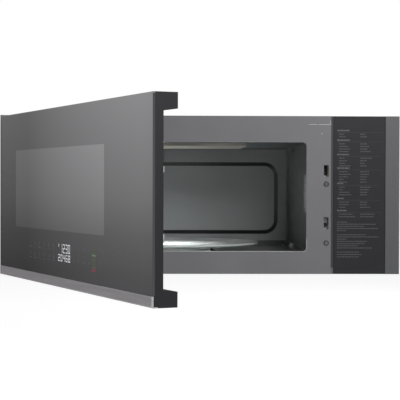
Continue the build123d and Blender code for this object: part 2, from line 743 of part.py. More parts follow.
# Side trim: a folded strip at the right edge
with BuildPart() as side_trim:
    with BuildSketch(level(0)):
        with BuildLine():
            Polyline(
                (TRIM_X, CARRIER_Y),
                (TRIM_X, FRONT_Y - TRIM_PROUD),
                (SIDE_X, FRONT_Y - TRIM_PROUD),
                (SIDE_X, PLATE_Y),
                (SIDE_X - SHEET, PLATE_Y),
                (SIDE_X - SHEET, FRONT_Y - TRIM_PROUD + SHEET),
                (TRIM_X + SHEET, FRONT_Y - TRIM_PROUD + SHEET),
                (TRIM_X + SHEET, CARRIER_Y),
                close=True,
            )
        make_face()
    extrude(amount=BODY_H)
    fillet(side_trim.edges().filter_by(Axis.Z).sort_by(Axis.Y)[:2], TRIM_R)
side_trim.part.label = "side_trim"
export_step(side_trim.part, "parts/side_trim.step")


def cavity_form(grow):
    """Inside of the oven as a solid, with every wall moved outwards by grow."""
    basin_d = CAV_D - SILL_D - 3 * BASIN_EDGE
    with BuildPart() as form:
        with BuildSketch(front(FRONT_Y)):
            with Locations((CAV_X, CAV_Z + CAV_H / 2)):
                RectangleRounded(CAV_W + 2 * grow, CAV_H + 2 * grow, OPEN_R + grow)
        extrude(amount=-(CAV_D + grow))
        chamfer(form.faces().sort_by(Axis.Y)[-1].edges(), CAV_BACK_EDGE + grow / 2)
        with BuildSketch(level(CAV_Z - grow)):
            with Locations((CAV_X, FRONT_Y + SILL_D + basin_d / 2)):
                RectangleRounded(CAV_W - 2 * BASIN_EDGE + 2 * grow, basin_d + 2 * grow, BASIN_R + grow)
        extrude(amount=-CAV_DROP, taper=BASIN_SLOPE)
        with BuildSketch(front(CAV_BACK_Y + grow)):
            with Locations((CAV_X, CAV_Z + BOSS_UP)):
                RectangleRounded(BOSS_W + grow, BOSS_H + grow, BOSS_R + grow / 2)
        extrude(amount=-BOSS_DEPTH, taper=math.degrees(math.atan(BOSS_SLOPE / BOSS_DEPTH)))
    return form.part


cavity_inside = cavity_form(0)
cavity_outside = cavity_form(SHEET)

# Oven cavity: a formed steel shell, open at the front
with BuildPart() as cavity_shell:
    add(cavity_outside)
    add(cavity_inside, mode=Mode.SUBTRACT)
    with BuildSketch(side(CAV_RIGHT)):
        with Locations((FRONT_Y + SCREEN_Y, SCREEN_Z)):
            Rectangle(SCREEN_L, SCREEN_H)
    extrude(amount=SHEET, mode=Mode.SUBTRACT)
    with BuildSketch(level(FLOOR_Z)):
        with Locations(TABLE_AT):
            Circle(SHAFT_HOLE_R)
    extrude(amount=-SHEET, mode=Mode.SUBTRACT)
    with BuildSketch(level(CAV_TOP)):
        with Locations((CAV_X, GUIDE_AT_Y)):
            Rectangle(GUIDE_HOLE, GUIDE_HOLE)
    extrude(amount=SHEET, mode=Mode.SUBTRACT)
cavity_shell.part.label = "cavity_shell"
export_step(cavity_shell.part, "parts/cavity_shell.step")

# Lamp screen: a flat insert in the cavity's right wall
with BuildPart() as vent_screen:
    with BuildSketch(side(CAV_RIGHT)):
        with Locations((FRONT_Y + SCREEN_Y, SCREEN_Z)):
            Rectangle(SCREEN_L, SCREEN_H)
    extrude(amount=SHEET)
vent_screen.part.label = "vent_screen"
export_step(vent_screen.part, "parts/vent_screen.step")

# Ceiling cover: a shallow tray under the microwave inlet, with a notch in its front edge
NOTCH_X = CAV_X + COVER_NOTCH_X

with BuildPart() as ceiling_cover:
    with BuildSketch(level(CAV_TOP - COVER_DROP)):
        with Locations((CAV_X, FRONT_Y + COVER_Y)):
            RectangleRounded(COVER_W, COVER_D, COVER_R)
    extrude(amount=COVER_DROP)
    offset(amount=-COVER_T, openings=ceiling_cover.faces().sort_by(Axis.Z)[-1],
           kind=Kind.INTERSECTION)
    with BuildSketch(front(FRONT_Y + COVER_Y - COVER_D / 2)):
        span((NOTCH_X - COVER_NOTCH_W / 2, CAV_TOP - COVER_DROP + COVER_T),
             (NOTCH_X + COVER_NOTCH_W / 2, CAV_TOP - OVER))
    extrude(amount=-COVER_NOTCH_IN, mode=Mode.SUBTRACT)
ceiling_cover.part.label = "ceiling_cover"
export_step(ceiling_cover.part, "parts/ceiling_cover.step")

# Cavity lamp: a small holder with a round lamp, on the outside of the right wall
with BuildPart() as cavity_lamp:
    with BuildSketch(side(BAY_X)):
        with Locations((FRONT_Y + SCREEN_Y, SCREEN_Z)):
            Rectangle(LAMP_BOX_L, LAMP_BOX_H)
    extrude(amount=LAMP_BOX_D)
    offset(amount=-LAMP_BOX_T, openings=cavity_lamp.faces().sort_by(Axis.X)[0],
           kind=Kind.INTERSECTION)
    with BuildSketch(side(BAY_X + LAMP_BOX_D - LAMP_BOX_T)):
        with Locations((FRONT_Y + SCREEN_Y, SCREEN_Z)):
            Circle(LAMP_R)
    extrude(amount=-LAMP_OUT)
cavity_lamp.part.label = "cavity_lamp"
export_step(cavity_lamp.part, "parts/cavity_lamp.step")

# Turntable motor: a flat can with two ears under the cavity floor
UNDER_Z = FLOOR_Z - SHEET
MOTOR_LOW = UNDER_Z - MOTOR_H

with BuildPart() as turntable_motor:
    with BuildSketch(level(UNDER_Z)):
        with Locations(TABLE_AT):
            Rectangle(2 * (MOTOR_R + EAR_L), EAR_W)
            Circle(SHAFT_R + PLAY, mode=Mode.SUBTRACT)
    extrude(amount=-SHEET)
    with BuildSketch(level(UNDER_Z)):
        with Locations(TABLE_AT):
            Circle(MOTOR_R)
            Circle(SHAFT_R + PLAY, mode=Mode.SUBTRACT)
    extrude(amount=-MOTOR_H)
    with BuildSketch(level(MOTOR_LOW + PLUG_UP)):
        with Locations(TABLE_AT):
            span((MOTOR_R - PLUG_W, -PLUG_W / 2), (MOTOR_R + PLUG_OUT, PLUG_W / 2))
    extrude(amount=PLUG_H)
turntable_motor.part.label = "turntable_motor"
export_step(turntable_motor.part, "parts/turntable_motor.step")

# Motor shaft: round, with a flat where the coupler sits
FLAT = SHAFT_R - SHAFT_FLAT
FLAT_CUT = SHAFT_R + OVER

with BuildPart() as motor_shaft:
    with BuildSketch(level(MOTOR_LOW + SHAFT_FOOT)):
        with Locations(TABLE_AT):
            Circle(SHAFT_R)
    extrude(amount=COUPLER_TOP - SHAFT_TIP - MOTOR_LOW - SHAFT_FOOT)
    with BuildSketch(level(COUPLER_Z)):
        with Locations(TABLE_AT):
            span((FLAT, -FLAT_CUT), (FLAT + FLAT_CUT, FLAT_CUT))
    extrude(amount=COUPLER_TOP - COUPLER_Z, mode=Mode.SUBTRACT)
motor_shaft.part.label = "motor_shaft"
export_step(motor_shaft.part, "parts/motor_shaft.step")

# Drive coupler: a hub with three lobes that drives the tray's lugs
with BuildPart() as drive_coupler:
    with BuildSketch(level(COUPLER_Z)):
        with Locations(TABLE_AT):
            Circle(COUPLER_HUB)
            with PolarLocations(0, 3, start_angle=90):
                with Locations((COUPLER_R / 2, 0)):
                    Rectangle(COUPLER_R, COUPLER_LOBE)
            Circle(SHAFT_R, mode=Mode.SUBTRACT)
            span((FLAT, -FLAT_CUT), (FLAT + FLAT_CUT, FLAT_CUT))
    extrude(amount=COUPLER_TOP - COUPLER_Z)
drive_coupler.part.label = "drive_coupler"
export_step(drive_coupler.part, "parts/drive_coupler.step")

# Glass turntable: a dished tray with three lugs under its middle
with BuildPart() as glass_turntable:
    with BuildSketch(front(TABLE_AT[1])):
        with BuildLine():
            Polyline(
                (CAV_X, TRAY_Z),
                (CAV_X + TABLE_R - RIM_W, TRAY_Z),
                (CAV_X + TABLE_R, TRAY_Z + TABLE_RIM),
                (CAV_X + TABLE_R, TRAY_Z + TABLE_RIM + TABLE_T),
                (CAV_X + TABLE_R - RIM_W, TRAY_Z + TABLE_T),
                (CAV_X, TRAY_Z + TABLE_T),
                close=True,
            )
        make_face()
    revolve(axis=Axis((CAV_X, TABLE_AT[1], 0), (0, 0, 1)))
    with BuildSketch(level(TRAY_Z)):
        with Locations(TABLE_AT):
            with PolarLocations(COUPLER_R - LUG_IN, 3, start_angle=30):
                Rectangle(LUG_L, LUG_W)
    extrude(amount=-LUG_H)
glass_turntable.part.label = "glass_turntable"
export_step(glass_turntable.part, "parts/glass_turntable.step")


def spoke_plane(angle):
    """Plane across a spoke of the roller ring, in the middle of the turntable."""
    outwards = Vector(1, 0, 0).rotate(Axis.Z, angle)
    return Plane((*TABLE_AT, WHEEL_Z), x_dir=(0, 0, 1), z_dir=outwards)


# Roller ring: a flat ring with three stub axles
AXLE_OUT = WHEEL_AT + WHEEL_W / 2 + AXLE_END

with BuildPart() as roller_ring:
    with BuildSketch(level(WHEEL_Z - RING_H / 2)):
        with Locations(TABLE_AT):
            Circle(RING_R + RING_W / 2)
            Circle(RING_R - RING_W / 2, mode=Mode.SUBTRACT)
    extrude(amount=RING_H)
    for angle in WHEEL_ANGLES:
        with BuildSketch(spoke_plane(angle).offset(RING_R)):
            Circle(AXLE_R)
        extrude(amount=AXLE_OUT - RING_R)
roller_ring.part.label = "roller_ring"
export_step(roller_ring.part, "parts/roller_ring.step")


def roller_wheel(angle):
    """Small wheel on a stub axle of the roller ring."""
    with BuildPart() as wheel:
        with BuildSketch(spoke_plane(angle).offset(WHEEL_AT - WHEEL_W / 2)):
            Circle(WHEEL_R)
            Circle(AXLE_R + PLAY, mode=Mode.SUBTRACT)
        extrude(amount=WHEEL_W)
    return wheel


for number, angle in enumerate(WHEEL_ANGLES, start=1):
    wheel = roller_wheel(angle)
    wheel.part.label = f"roller_wheel_{number}"
    export_step(wheel.part, f"parts/roller_wheel_{number}.step")

# Waveguide: a closed rectangular duct over the ceiling, from the magnetron to the inlet
with BuildPart() as waveguide:
    with BuildSketch(level(ROOF_Z)):
        span((GUIDE_LEFT, GUIDE_AT_Y - GUIDE_DEEP / 2), (GUIDE_RIGHT, GUIDE_AT_Y + GUIDE_DEEP / 2))
    extrude(amount=GUIDE_ROOF - ROOF_Z)
    with BuildSketch(level(ROOF_Z + SHEET)):
        span((GUIDE_LEFT + SHEET, GUIDE_AT_Y - GUIDE_DEEP / 2 + SHEET),
             (GUIDE_RIGHT - SHEET, GUIDE_AT_Y + GUIDE_DEEP / 2 - SHEET))
    extrude(amount=GUIDE_ROOF - ROOF_Z - 2 * SHEET, mode=Mode.SUBTRACT)
    with BuildSketch(level(ROOF_Z)):
        with Locations((CAV_X, GUIDE_AT_Y)):
            Rectangle(GUIDE_HOLE, GUIDE_HOLE)
        with Locations((MAG_X, GUIDE_AT_Y)):
            Circle(ANTENNA_R + ANTENNA_ROOM)
    extrude(amount=SHEET, mode=Mode.SUBTRACT)
waveguide.part.label = "waveguide"
export_step(waveguide.part, "parts/waveguide.step")

# Magnetron: a yoke round a finned anode, with its antenna up into the waveguide
MAG_LOW = ROOF_Z - MAG_H
FIN_PITCH = (MAG_H - 2 * MAG_FIN_END) / (MAG_FINS - 1)

with BuildPart() as magnetron:
    with BuildSketch(front(GUIDE_AT_Y + MAG_D / 2)):
        span((MAG_X - MAG_W / 2, MAG_LOW), (MAG_X + MAG_W / 2, ROOF_Z))
        span((MAG_X - MAG_W / 2 + YOKE_T, MAG_LOW + YOKE_T), (MAG_X + MAG_W / 2 - YOKE_T, ROOF_Z - YOKE_T),
             mode=Mode.SUBTRACT)
    extrude(amount=MAG_D)
    with BuildSketch(level(MAG_LOW + YOKE_T)):
        with Locations((MAG_X, GUIDE_AT_Y)):
            RegularPolygon(ANODE_R, ANODE_SIDES)
    extrude(amount=MAG_H - 2 * YOKE_T)
    for fin in range(MAG_FINS):
        with BuildSketch(level(MAG_LOW + MAG_FIN_END + fin * FIN_PITCH)):
            with Locations((MAG_X, GUIDE_AT_Y)):
                Rectangle(MAG_W - 2 * YOKE_T, MAG_D - 2 * MAG_FIN_IN)
        extrude(amount=MAG_FIN_T)
    with BuildSketch(level(MAG_LOW)):
        with Locations((MAG_X, GUIDE_AT_Y)):
            Rectangle(MAG_BOX_W, MAG_BOX_D)
    extrude(amount=-MAG_BOX_H)
    with BuildSketch(level(ROOF_Z)):
        with Locations((MAG_X, GUIDE_AT_Y)):
            Circle(ANTENNA_R)
    extrude(amount=ANTENNA_H)
    chamfer(magnetron.faces().sort_by(Axis.Z)[-1].edges(), ANTENNA_EDGE)
magnetron.part.label = "magnetron"
export_step(magnetron.part, "parts/magnetron.step")

# Transformer: a laminated core with two windings, on the base plate
TRAFO_AT = FRONT_Y + TRAFO_Y

with BuildPart() as hv_transformer:
    with BuildSketch(front(TRAFO_AT + TRAFO_D / 2)):
        span((TRAFO_X - TRAFO_W / 2, SHEET), (TRAFO_X + TRAFO_W / 2, SHEET + TRAFO_H))
        for x in (TRAFO_X - TRAFO_W / 4, TRAFO_X + TRAFO_W / 4):
            span((x - CORE_WINDOW / 2, SHEET + CORE_EDGE),
                 (x + CORE_WINDOW / 2, SHEET + TRAFO_H - CORE_EDGE), mode=Mode.SUBTRACT)
    extrude(amount=TRAFO_D)
    for z in (SHEET + CORE_EDGE + COIL_END, SHEET + TRAFO_H - CORE_EDGE - COIL_END - COIL_H):
        with BuildSketch(level(z)):
            with Locations((TRAFO_X, TRAFO_AT)):
                RectangleRounded(COIL_W, TRAFO_D + 2 * COIL_OUT, COIL_R)
        extrude(amount=COIL_H)
    with BuildSketch(level(SHEET)):
        with Locations((TRAFO_X, TRAFO_AT)):
            Rectangle(TRAFO_W + 2 * TRAFO_FOOT, TRAFO_D - 2 * TRAFO_FOOT_IN)
    extrude(amount=TRAFO_FOOT_T)
hv_transformer.part.label = "hv_transformer"
export_step(hv_transformer.part, "parts/hv_transformer.step")

# Capacitor: an oval can lying on the base plate, with two tabs
CAP_AT = FRONT_Y + CAP_Y

with BuildPart() as hv_capacitor:
    with BuildSketch(front(CAP_AT + CAP_L / 2)):
        with Locations((CAP_X, SHEET + CAP_R)):
            SlotOverall(CAP_W, 2 * CAP_R)
    extrude(amount=CAP_L)
    with BuildSketch(front(CAP_AT - CAP_L / 2)):
        with Locations((CAP_X, SHEET + CAP_R)):
            with GridLocations(CAP_TAB_PITCH, 0, 2, 1):
                Rectangle(CAP_TAB[0], CAP_TAB[1])
    extrude(amount=CAP_TAB[2])
hv_capacitor.part.label = "hv_capacitor"
export_step(hv_capacitor.part, "parts/hv_capacitor.step")

# Diode: a small rod with an eyelet, on the base plate behind the capacitor
DIODE_Y = CAP_AT + CAP_L / 2 + DIODE_GAP
DIODE_X = CAP_X - DIODE_LEFT

with BuildPart() as hv_diode:
    with BuildSketch(side(DIODE_X)):
        with Locations((DIODE_Y, SHEET + DIODE_R)):
            Circle(DIODE_R)
    extrude(amount=DIODE_L)
    with BuildSketch(level(SHEET)):
        with Locations((DIODE_X + DIODE_L + EYELET_L / 2 - EYELET_W, DIODE_Y)):
            Rectangle(EYELET_L, EYELET_W)
    extrude(amount=EYELET_T)
hv_diode.part.label = "hv_diode"
export_step(hv_diode.part, "parts/hv_diode.step")

# Power board: a circuit board behind the guide panel, with relays and a small transformer
BOARD_Y = CARRIER_Y + CARRIER_D + BOARD_BAY_GAP

with BuildPart() as power_board:
    with BuildSketch(front(BOARD_Y)):
        with Locations((BOARD_BAY_X, BOARD_BAY_Z)):
            Rectangle(BOARD_BAY_W, BOARD_BAY_H)
    extrude(amount=-BOARD_T)
    with BuildSketch(front(BOARD_Y + BOARD_T)):
        with Locations((BOARD_BAY_X, BOARD_BAY_Z + RELAY_UP)):
            with GridLocations(RELAY_PITCH, 0, 3, 1):
                Rectangle(*RELAY)
        with Locations((BOARD_BAY_X, BOARD_BAY_Z)):
            with Locations(SMALL_TRAFO_AT):
                Rectangle(*SMALL_TRAFO)
            with Locations(BOARD_CAP_AT):
                Circle(BOARD_CAP_R)
    extrude(amount=-BOARD_PARTS_H)
    with BuildSketch(front(BOARD_Y)):
        with Locations((BOARD_BAY_X, BOARD_BAY_Z)):
            with GridLocations(BOARD_BAY_W - 2 * BOARD_POST_IN, BOARD_BAY_H - 2 * BOARD_POST_IN, 2, 2):
                Rectangle(BOARD_POST, BOARD_POST)
    extrude(amount=BOARD_Y - CARRIER_Y - CARRIER_T)
power_board.part.label = "power_board"
export_step(power_board.part, "parts/power_board.step")

# Thermal cutouts: two flanged discs, on the cavity's right wall and on the waveguide's end
with BuildPart() as thermal_cutouts:
    for x, y, z in ((BAY_X, GUIDE_AT_Y + GUIDE_DEEP, CAV_TOP - CUTOUT_DOWN),
                    (GUIDE_RIGHT, GUIDE_AT_Y, (ROOF_Z + GUIDE_ROOF) / 2)):
        with BuildSketch(side(x)):
            with Locations((y, z)):
                Rectangle(CUTOUT_L, CUTOUT_W)
        extrude(amount=CUTOUT_T)
        with BuildSketch(side(x)):
            with Locations((y, z)):
                Circle(CUTOUT_R)
        extrude(amount=CUTOUT_H)
thermal_cutouts.part.label = "thermal_cutouts"
export_step(thermal_cutouts.part, "parts/thermal_cutouts.step")

# Cooling fan shroud: a square frame with a round mouth, standing on a foot beside the magnetron
SHROUD_LEFT = FAN_X - SHROUD_T / 2
SHROUD_LOW = FAN_Z - SHROUD_SIZE / 2
LEG_FRONT = FAN_Y - SHROUD_SIZE / 2 + SHROUD_LEG_IN
LEG_BACK = FAN_Y + SHROUD_SIZE / 2 - SHROUD_LEG_IN

with BuildPart() as fan_shroud:
    with BuildSketch(side(SHROUD_LEFT)):
        with Locations((FAN_Y, FAN_Z)):
            Rectangle(SHROUD_SIZE, SHROUD_SIZE)
            Circle(FAN_R + FAN_TIP, mode=Mode.SUBTRACT)
    extrude(amount=SHROUD_WALL)
    with BuildSketch(side(SHROUD_LEFT)):
        with Locations((FAN_Y, FAN_Z)):
            Circle(FAN_R + FAN_TIP + SHROUD_WALL)
            Circle(FAN_R + FAN_TIP, mode=Mode.SUBTRACT)
    extrude(amount=SHROUD_T)
    with BuildSketch(side(FAN_X + SHROUD_T / 2 - SHROUD_WALL)):
        with Locations((FAN_Y, FAN_Z)):
            with PolarLocations(0, 4, start_angle=45):
                span((0, -SPIDER_W / 2), (FAN_R + FAN_TIP + SHROUD_WALL / 2, SPIDER_W / 2))
            Circle(SPIDER_HUB)
            Circle(FAN_SHAFT_R + PLAY, mode=Mode.SUBTRACT)
    extrude(amount=SHROUD_WALL)
    with BuildSketch(side(SHROUD_LEFT)):
        span((LEG_FRONT, SHEET), (LEG_FRONT + SHROUD_LEG_W, SHROUD_LOW))
        span((LEG_BACK - SHROUD_LEG_W, SHEET), (LEG_BACK, SHROUD_LOW))
    extrude(amount=SHROUD_WALL)
    with BuildSketch(level(SHEET)):
        span((SHROUD_LEFT, LEG_FRONT), (SHROUD_LEFT + SHROUD_FOOT, LEG_BACK))
    extrude(amount=SHROUD_WALL)
fan_shroud.part.label = "fan_shroud"
export_step(fan_shroud.part, "parts/fan_shroud.step")

# Cooling fan motor: a laminated frame on the shroud's spider, with a round bearing cap
FAN_MOTOR_X = FAN_X + SHROUD_T / 2

with BuildPart() as fan_motor:
    with BuildSketch(side(FAN_MOTOR_X)):
        with Locations((FAN_Y, FAN_Z)):
            Circle(FAN_CAP_R)
            Circle(FAN_SHAFT_R + PLAY, mode=Mode.SUBTRACT)
    extrude(amount=FAN_CAP_H)
    with BuildSketch(side(FAN_MOTOR_X + FAN_CAP_H)):
        with Locations((FAN_Y, FAN_Z)):
            Rectangle(FAN_MOTOR_W, FAN_MOTOR_W)
    extrude(amount=FAN_MOTOR_L)
    with BuildSketch(side(FAN_MOTOR_X + FAN_CAP_H)):
        with Locations((FAN_Y, FAN_Z - (FAN_MOTOR_W + FAN_COIL_H) / 2 + OVER)):
            Rectangle(FAN_COIL_W, FAN_COIL_H)
    extrude(amount=FAN_COIL_L)
fan_motor.part.label = "fan_motor"
export_step(fan_motor.part, "parts/fan_motor.step")


def fan_blade_plane(turn):
    """Plane of a pitched blade: its sketch X axis points outwards, and its Y axis across the blade."""
    outwards = Vector(0, 1, 0).rotate(Axis.X, turn)
    around = Vector(1, 0, 0).cross(outwards)
    pitch = math.radians(FAN_PITCH)
    across = around * math.cos(pitch) + Vector(1, 0, 0) * math.sin(pitch)
    return Plane((FAN_X, FAN_Y, FAN_Z), x_dir=outwards, z_dir=outwards.cross(across))


# Cooling fan: a hub with pitched blades that widen outwards, on its shaft
with BuildPart() as cooling_fan:
    with BuildSketch(side(FAN_X - FAN_HUB_H / 2)):
        with Locations((FAN_Y, FAN_Z)):
            Circle(FAN_HUB)
    extrude(amount=FAN_HUB_H)
    with BuildSketch(side(FAN_X + FAN_HUB_H / 2)):
        with Locations((FAN_Y, FAN_Z)):
            Circle(FAN_SHAFT_R)
    extrude(amount=FAN_MOTOR_X + FAN_CAP_H - OVER - FAN_X - FAN_HUB_H / 2)
    for blade in range(FAN_BLADES):
        with BuildSketch(fan_blade_plane(360 / FAN_BLADES * blade)):
            with BuildLine():
                Polyline(
                    (FAN_HUB - FAN_ROOT, -FAN_BLADE_W[0] / 2),
                    (FAN_R / 2, -FAN_BLADE_W[1] / 2),
                    (FAN_R + OVER, -FAN_BLADE_W[1] / 2),
                    (FAN_R + OVER, FAN_BLADE_W[1] / 2),
                    (FAN_HUB - FAN_ROOT, FAN_BLADE_W[0] / 2),
                    close=True,
                )
            make_face()
        extrude(amount=FAN_BLADE_T / 2, both=True)
    with BuildSketch(side(FAN_X - SHROUD_T / 2)):
        with Locations((FAN_Y, FAN_Z)):
            Circle(2 * FAN_R)
            Circle(FAN_R, mode=Mode.SUBTRACT)
    extrude(amount=SHROUD_T, mode=Mode.SUBTRACT)
cooling_fan.part.label = "cooling_fan"
export_step(cooling_fan.part, "parts/cooling_fan.step")

# Blower housing: a scroll that grows round the wheel and opens upwards into the duct
SCROLL_LEFT = BLOW_X - BLOW_L / 2 - BLOW_GAP
SCROLL_RIGHT = BLOW_X + BLOW_L / 2 + BLOW_GAP
MOUTH_BACK = SCROLL_R + 4 * SCROLL_STEP
MOUTH_FRONT = MOUTH_BACK - SCROLL_MOUTH


def scroll_outline(grow):
    """Scroll of four quarter arcs, each larger than the last, with a straight mouth upwards."""
    radius = SCROLL_R + grow
    step = SCROLL_STEP
    with BuildSketch() as outline:
        with BuildLine():
            first = CenterArc((0, 0), radius, 0, 90)
            CenterArc((0, -step), radius + step, 90, 90)
            CenterArc((step, -step), radius + 2 * step, 180, 90)
            fourth = CenterArc((step, 0), radius + 3 * step, 270, 90)
            Line(fourth @ 1, first @ 0)
        make_face()
        span((MOUTH_FRONT - grow, 0), (MOUTH_BACK + grow, DUCT_Z - BLOW_Z))
    return outline.sketch


scroll_inside = scroll_outline(0)
scroll_outside = scroll_outline(SCROLL_WALL)

with BuildPart() as blower_housing:
    with BuildSketch(side(SCROLL_LEFT - SCROLL_WALL)):
        with Locations((BLOW_AT, BLOW_Z)):
            add(scroll_outside)
    extrude(amount=SCROLL_RIGHT - SCROLL_LEFT + 2 * SCROLL_WALL)
    with BuildSketch(side(SCROLL_LEFT)):
        with Locations((BLOW_AT, BLOW_Z)):
            add(scroll_inside)
    extrude(amount=SCROLL_RIGHT - SCROLL_LEFT, mode=Mode.SUBTRACT)
    with BuildSketch(side(SCROLL_LEFT - SCROLL_WALL)):
        with Locations((BLOW_AT, BLOW_Z)):
            Circle(INLET_R)
    extrude(amount=SCROLL_WALL, mode=Mode.SUBTRACT)
    with BuildSketch(side(SCROLL_RIGHT)):
        with Locations((BLOW_AT, BLOW_Z)):
            Circle(SHAFT_MOUTH_R)
    extrude(amount=SCROLL_WALL, mode=Mode.SUBTRACT)
blower_housing.part.label = "blower_housing"
export_step(blower_housing.part, "parts/blower_housing.step")

# Blower wheel: forward-curved blades between a back disc and a front ring, on the motor's shaft
WHEEL_RIGHT = BLOW_X + BLOW_L / 2
BLADE_IN = BLOW_R - BLADE_DEEP
BLADE_TIP = BLOW_R - BLADE_T

with BuildSketch() as blade_face:
    with BuildLine():
        Polyline(
            (BLADE_IN, 0),
            (BLADE_TIP, BLADE_HOOK),
            (BLADE_TIP - BLADE_T, BLADE_HOOK + BLADE_T),
            (BLADE_IN, BLADE_T),
            close=True,
        )
    make_face()

with BuildPart() as blower_wheel:
    with BuildSketch(side(BLOW_X - BLOW_L / 2)):
        with Locations((BLOW_AT, BLOW_Z)):
            with PolarLocations(0, BLADES):
                add(blade_face.sketch)
    extrude(amount=BLOW_L)
    with BuildSketch(side(WHEEL_RIGHT - WHEEL_DISC)):
        with Locations((BLOW_AT, BLOW_Z)):
            Circle(BLOW_R)
    extrude(amount=WHEEL_DISC)
    with BuildSketch(side(BLOW_X - BLOW_L / 2)):
        with Locations((BLOW_AT, BLOW_Z)):
            Circle(BLOW_R + WHEEL_RING_OUT)
            Circle(BLOW_R - WHEEL_RING, mode=Mode.SUBTRACT)
    extrude(amount=WHEEL_DISC)
    with BuildSketch(side(WHEEL_RIGHT - WHEEL_DISC)):
        with Locations((BLOW_AT, BLOW_Z)):
            Circle(WHEEL_HUB_R)
    extrude(amount=-WHEEL_HUB_L)
    with BuildSketch(side(WHEEL_RIGHT)):
        with Locations((BLOW_AT, BLOW_Z)):
            Circle(SHAFT_R)
    extrude(amount=BLOW_GAP + SCROLL_WALL + BLOW_MOTOR_L - BLOW_MOTOR_END - BLOW_FLANGE_T)
blower_wheel.part.label = "blower_wheel"
export_step(blower_wheel.part, "parts/blower_wheel.step")

# Blower motor: a can with a square flange on the housing's right side plate
BLOW_MOTOR_X = SCROLL_RIGHT + SCROLL_WALL

with BuildPart() as blower_motor:
    with BuildSketch(side(BLOW_MOTOR_X)):
        with Locations((BLOW_AT, BLOW_Z)):
            Rectangle(2 * BLOW_MOTOR_R + 2 * BLOW_FLANGE, 2 * BLOW_MOTOR_R + 2 * BLOW_FLANGE)
            Circle(SHAFT_R + PLAY, mode=Mode.SUBTRACT)
    extrude(amount=BLOW_FLANGE_T)
    with BuildSketch(side(BLOW_MOTOR_X + BLOW_FLANGE_T)):
        with Locations((BLOW_AT, BLOW_Z)):
            Circle(BLOW_MOTOR_R)
            Circle(SHAFT_R + PLAY, mode=Mode.SUBTRACT)
    extrude(amount=BLOW_MOTOR_L - BLOW_FLANGE_T - BLOW_MOTOR_END)
    with BuildSketch(side(BLOW_MOTOR_X + BLOW_MOTOR_L - BLOW_MOTOR_END)):
        with Locations((BLOW_AT, BLOW_Z)):
            Circle(BLOW_MOTOR_R)
    extrude(amount=BLOW_MOTOR_END)
    chamfer(round_edges(blower_motor, BLOW_MOTOR_R).sort_by(Axis.X)[-1], BLOW_MOTOR_EDGE)
blower_motor.part.label = "blower_motor"
export_step(blower_motor.part, "parts/blower_motor.step")

# Exhaust duct: a flat duct over the cavity, from the scroll's mouth to the outlet in the top
DUCT_LEFT = -OUT_W / 2 - DUCT_END
DUCT_RIGHT = SCROLL_RIGHT + SCROLL_WALL
DUCT_FRONT_Y = -OUT_Y - OUT_D / 2 - DUCT_FRONT
DUCT_BACK_Y = BLOW_AT + MOUTH_BACK + SCROLL_WALL

with BuildPart() as exhaust_duct:
    with BuildSketch(level(DUCT_Z)):
        span((DUCT_LEFT, DUCT_FRONT_Y), (DUCT_RIGHT, DUCT_BACK_Y))
    extrude(amount=DUCT_TOP - DUCT_Z)
    with BuildSketch(level(DUCT_Z + SHEET)):
        span((DUCT_LEFT + SHEET, DUCT_FRONT_Y + SHEET), (DUCT_RIGHT - SHEET, DUCT_BACK_Y - SHEET))
    extrude(amount=DUCT_TOP - DUCT_Z - 2 * SHEET, mode=Mode.SUBTRACT)
    with BuildSketch(level(DUCT_Z)):
        span((SCROLL_LEFT, BLOW_AT + MOUTH_FRONT), (DUCT_RIGHT - DUCT_LEDGE, DUCT_BACK_Y - DUCT_LEDGE))
    extrude(amount=SHEET, mode=Mode.SUBTRACT)
    with BuildSketch(level(DUCT_TOP)):
        with Locations((0, -OUT_Y)):
            Rectangle(OUT_W, OUT_D)
    extrude(amount=-SHEET, mode=Mode.SUBTRACT)
exhaust_duct.part.label = "exhaust_duct"
export_step(exhaust_duct.part, "parts/exhaust_duct.step")

# Exhaust adapter: a flanged collar in the top of the case, with a seat for the damper flap
COLLAR_LOW = DUCT_TOP - SHEET
COLLAR_TOP = BODY_H + COLLAR_H
FLAP_LOW = BODY_H + FLAP_Z
FLAP_PIN_Y = -OUT_Y - OUT_D / 2 + COLLAR_T + FLAP_PIN_R + FLAP_PIN_IN
FLAP_PIN_Z = FLAP_LOW + FLAP_PIN_R
SEAT_IN = COLLAR_T + FLAP_SEAT

with BuildPart() as exhaust_adapter:
    with BuildSketch(level(COLLAR_LOW)):
        with Locations((0, -OUT_Y)):
            Rectangle(OUT_W, OUT_D)
            Rectangle(OUT_W - 2 * COLLAR_T, OUT_D - 2 * COLLAR_T, mode=Mode.SUBTRACT)
    extrude(amount=COLLAR_TOP - COLLAR_LOW)
    with BuildSketch(level(BODY_H)):
        with Locations((0, -OUT_Y)):
            Rectangle(OUT_W + 2 * COLLAR_FLANGE, OUT_D + 2 * COLLAR_FLANGE)
            Rectangle(OUT_W - COLLAR_T, OUT_D - COLLAR_T, mode=Mode.SUBTRACT)
    extrude(amount=COLLAR_T)
    with BuildSketch(level(FLAP_LOW - GAP - COLLAR_T)):
        with Locations((0, -OUT_Y)):
            Rectangle(OUT_W - COLLAR_T, OUT_D - COLLAR_T)
            Rectangle(OUT_W - 2 * SEAT_IN, OUT_D - 2 * SEAT_IN, mode=Mode.SUBTRACT)
    extrude(amount=COLLAR_T)
    with BuildSketch(side(-OUT_W / 2)):
        with Locations((FLAP_PIN_Y, FLAP_PIN_Z)):
            Circle(FLAP_PIN_R + PLAY)
    extrude(amount=OUT_W, mode=Mode.SUBTRACT)
exhaust_adapter.part.label = "exhaust_adapter"
export_step(exhaust_adapter.part, "parts/exhaust_adapter.step")

# Damper flap: a light plate on a rod, closed by its own weight
FLAP_X = OUT_W / 2 - COLLAR_T - FLAP_ROOM

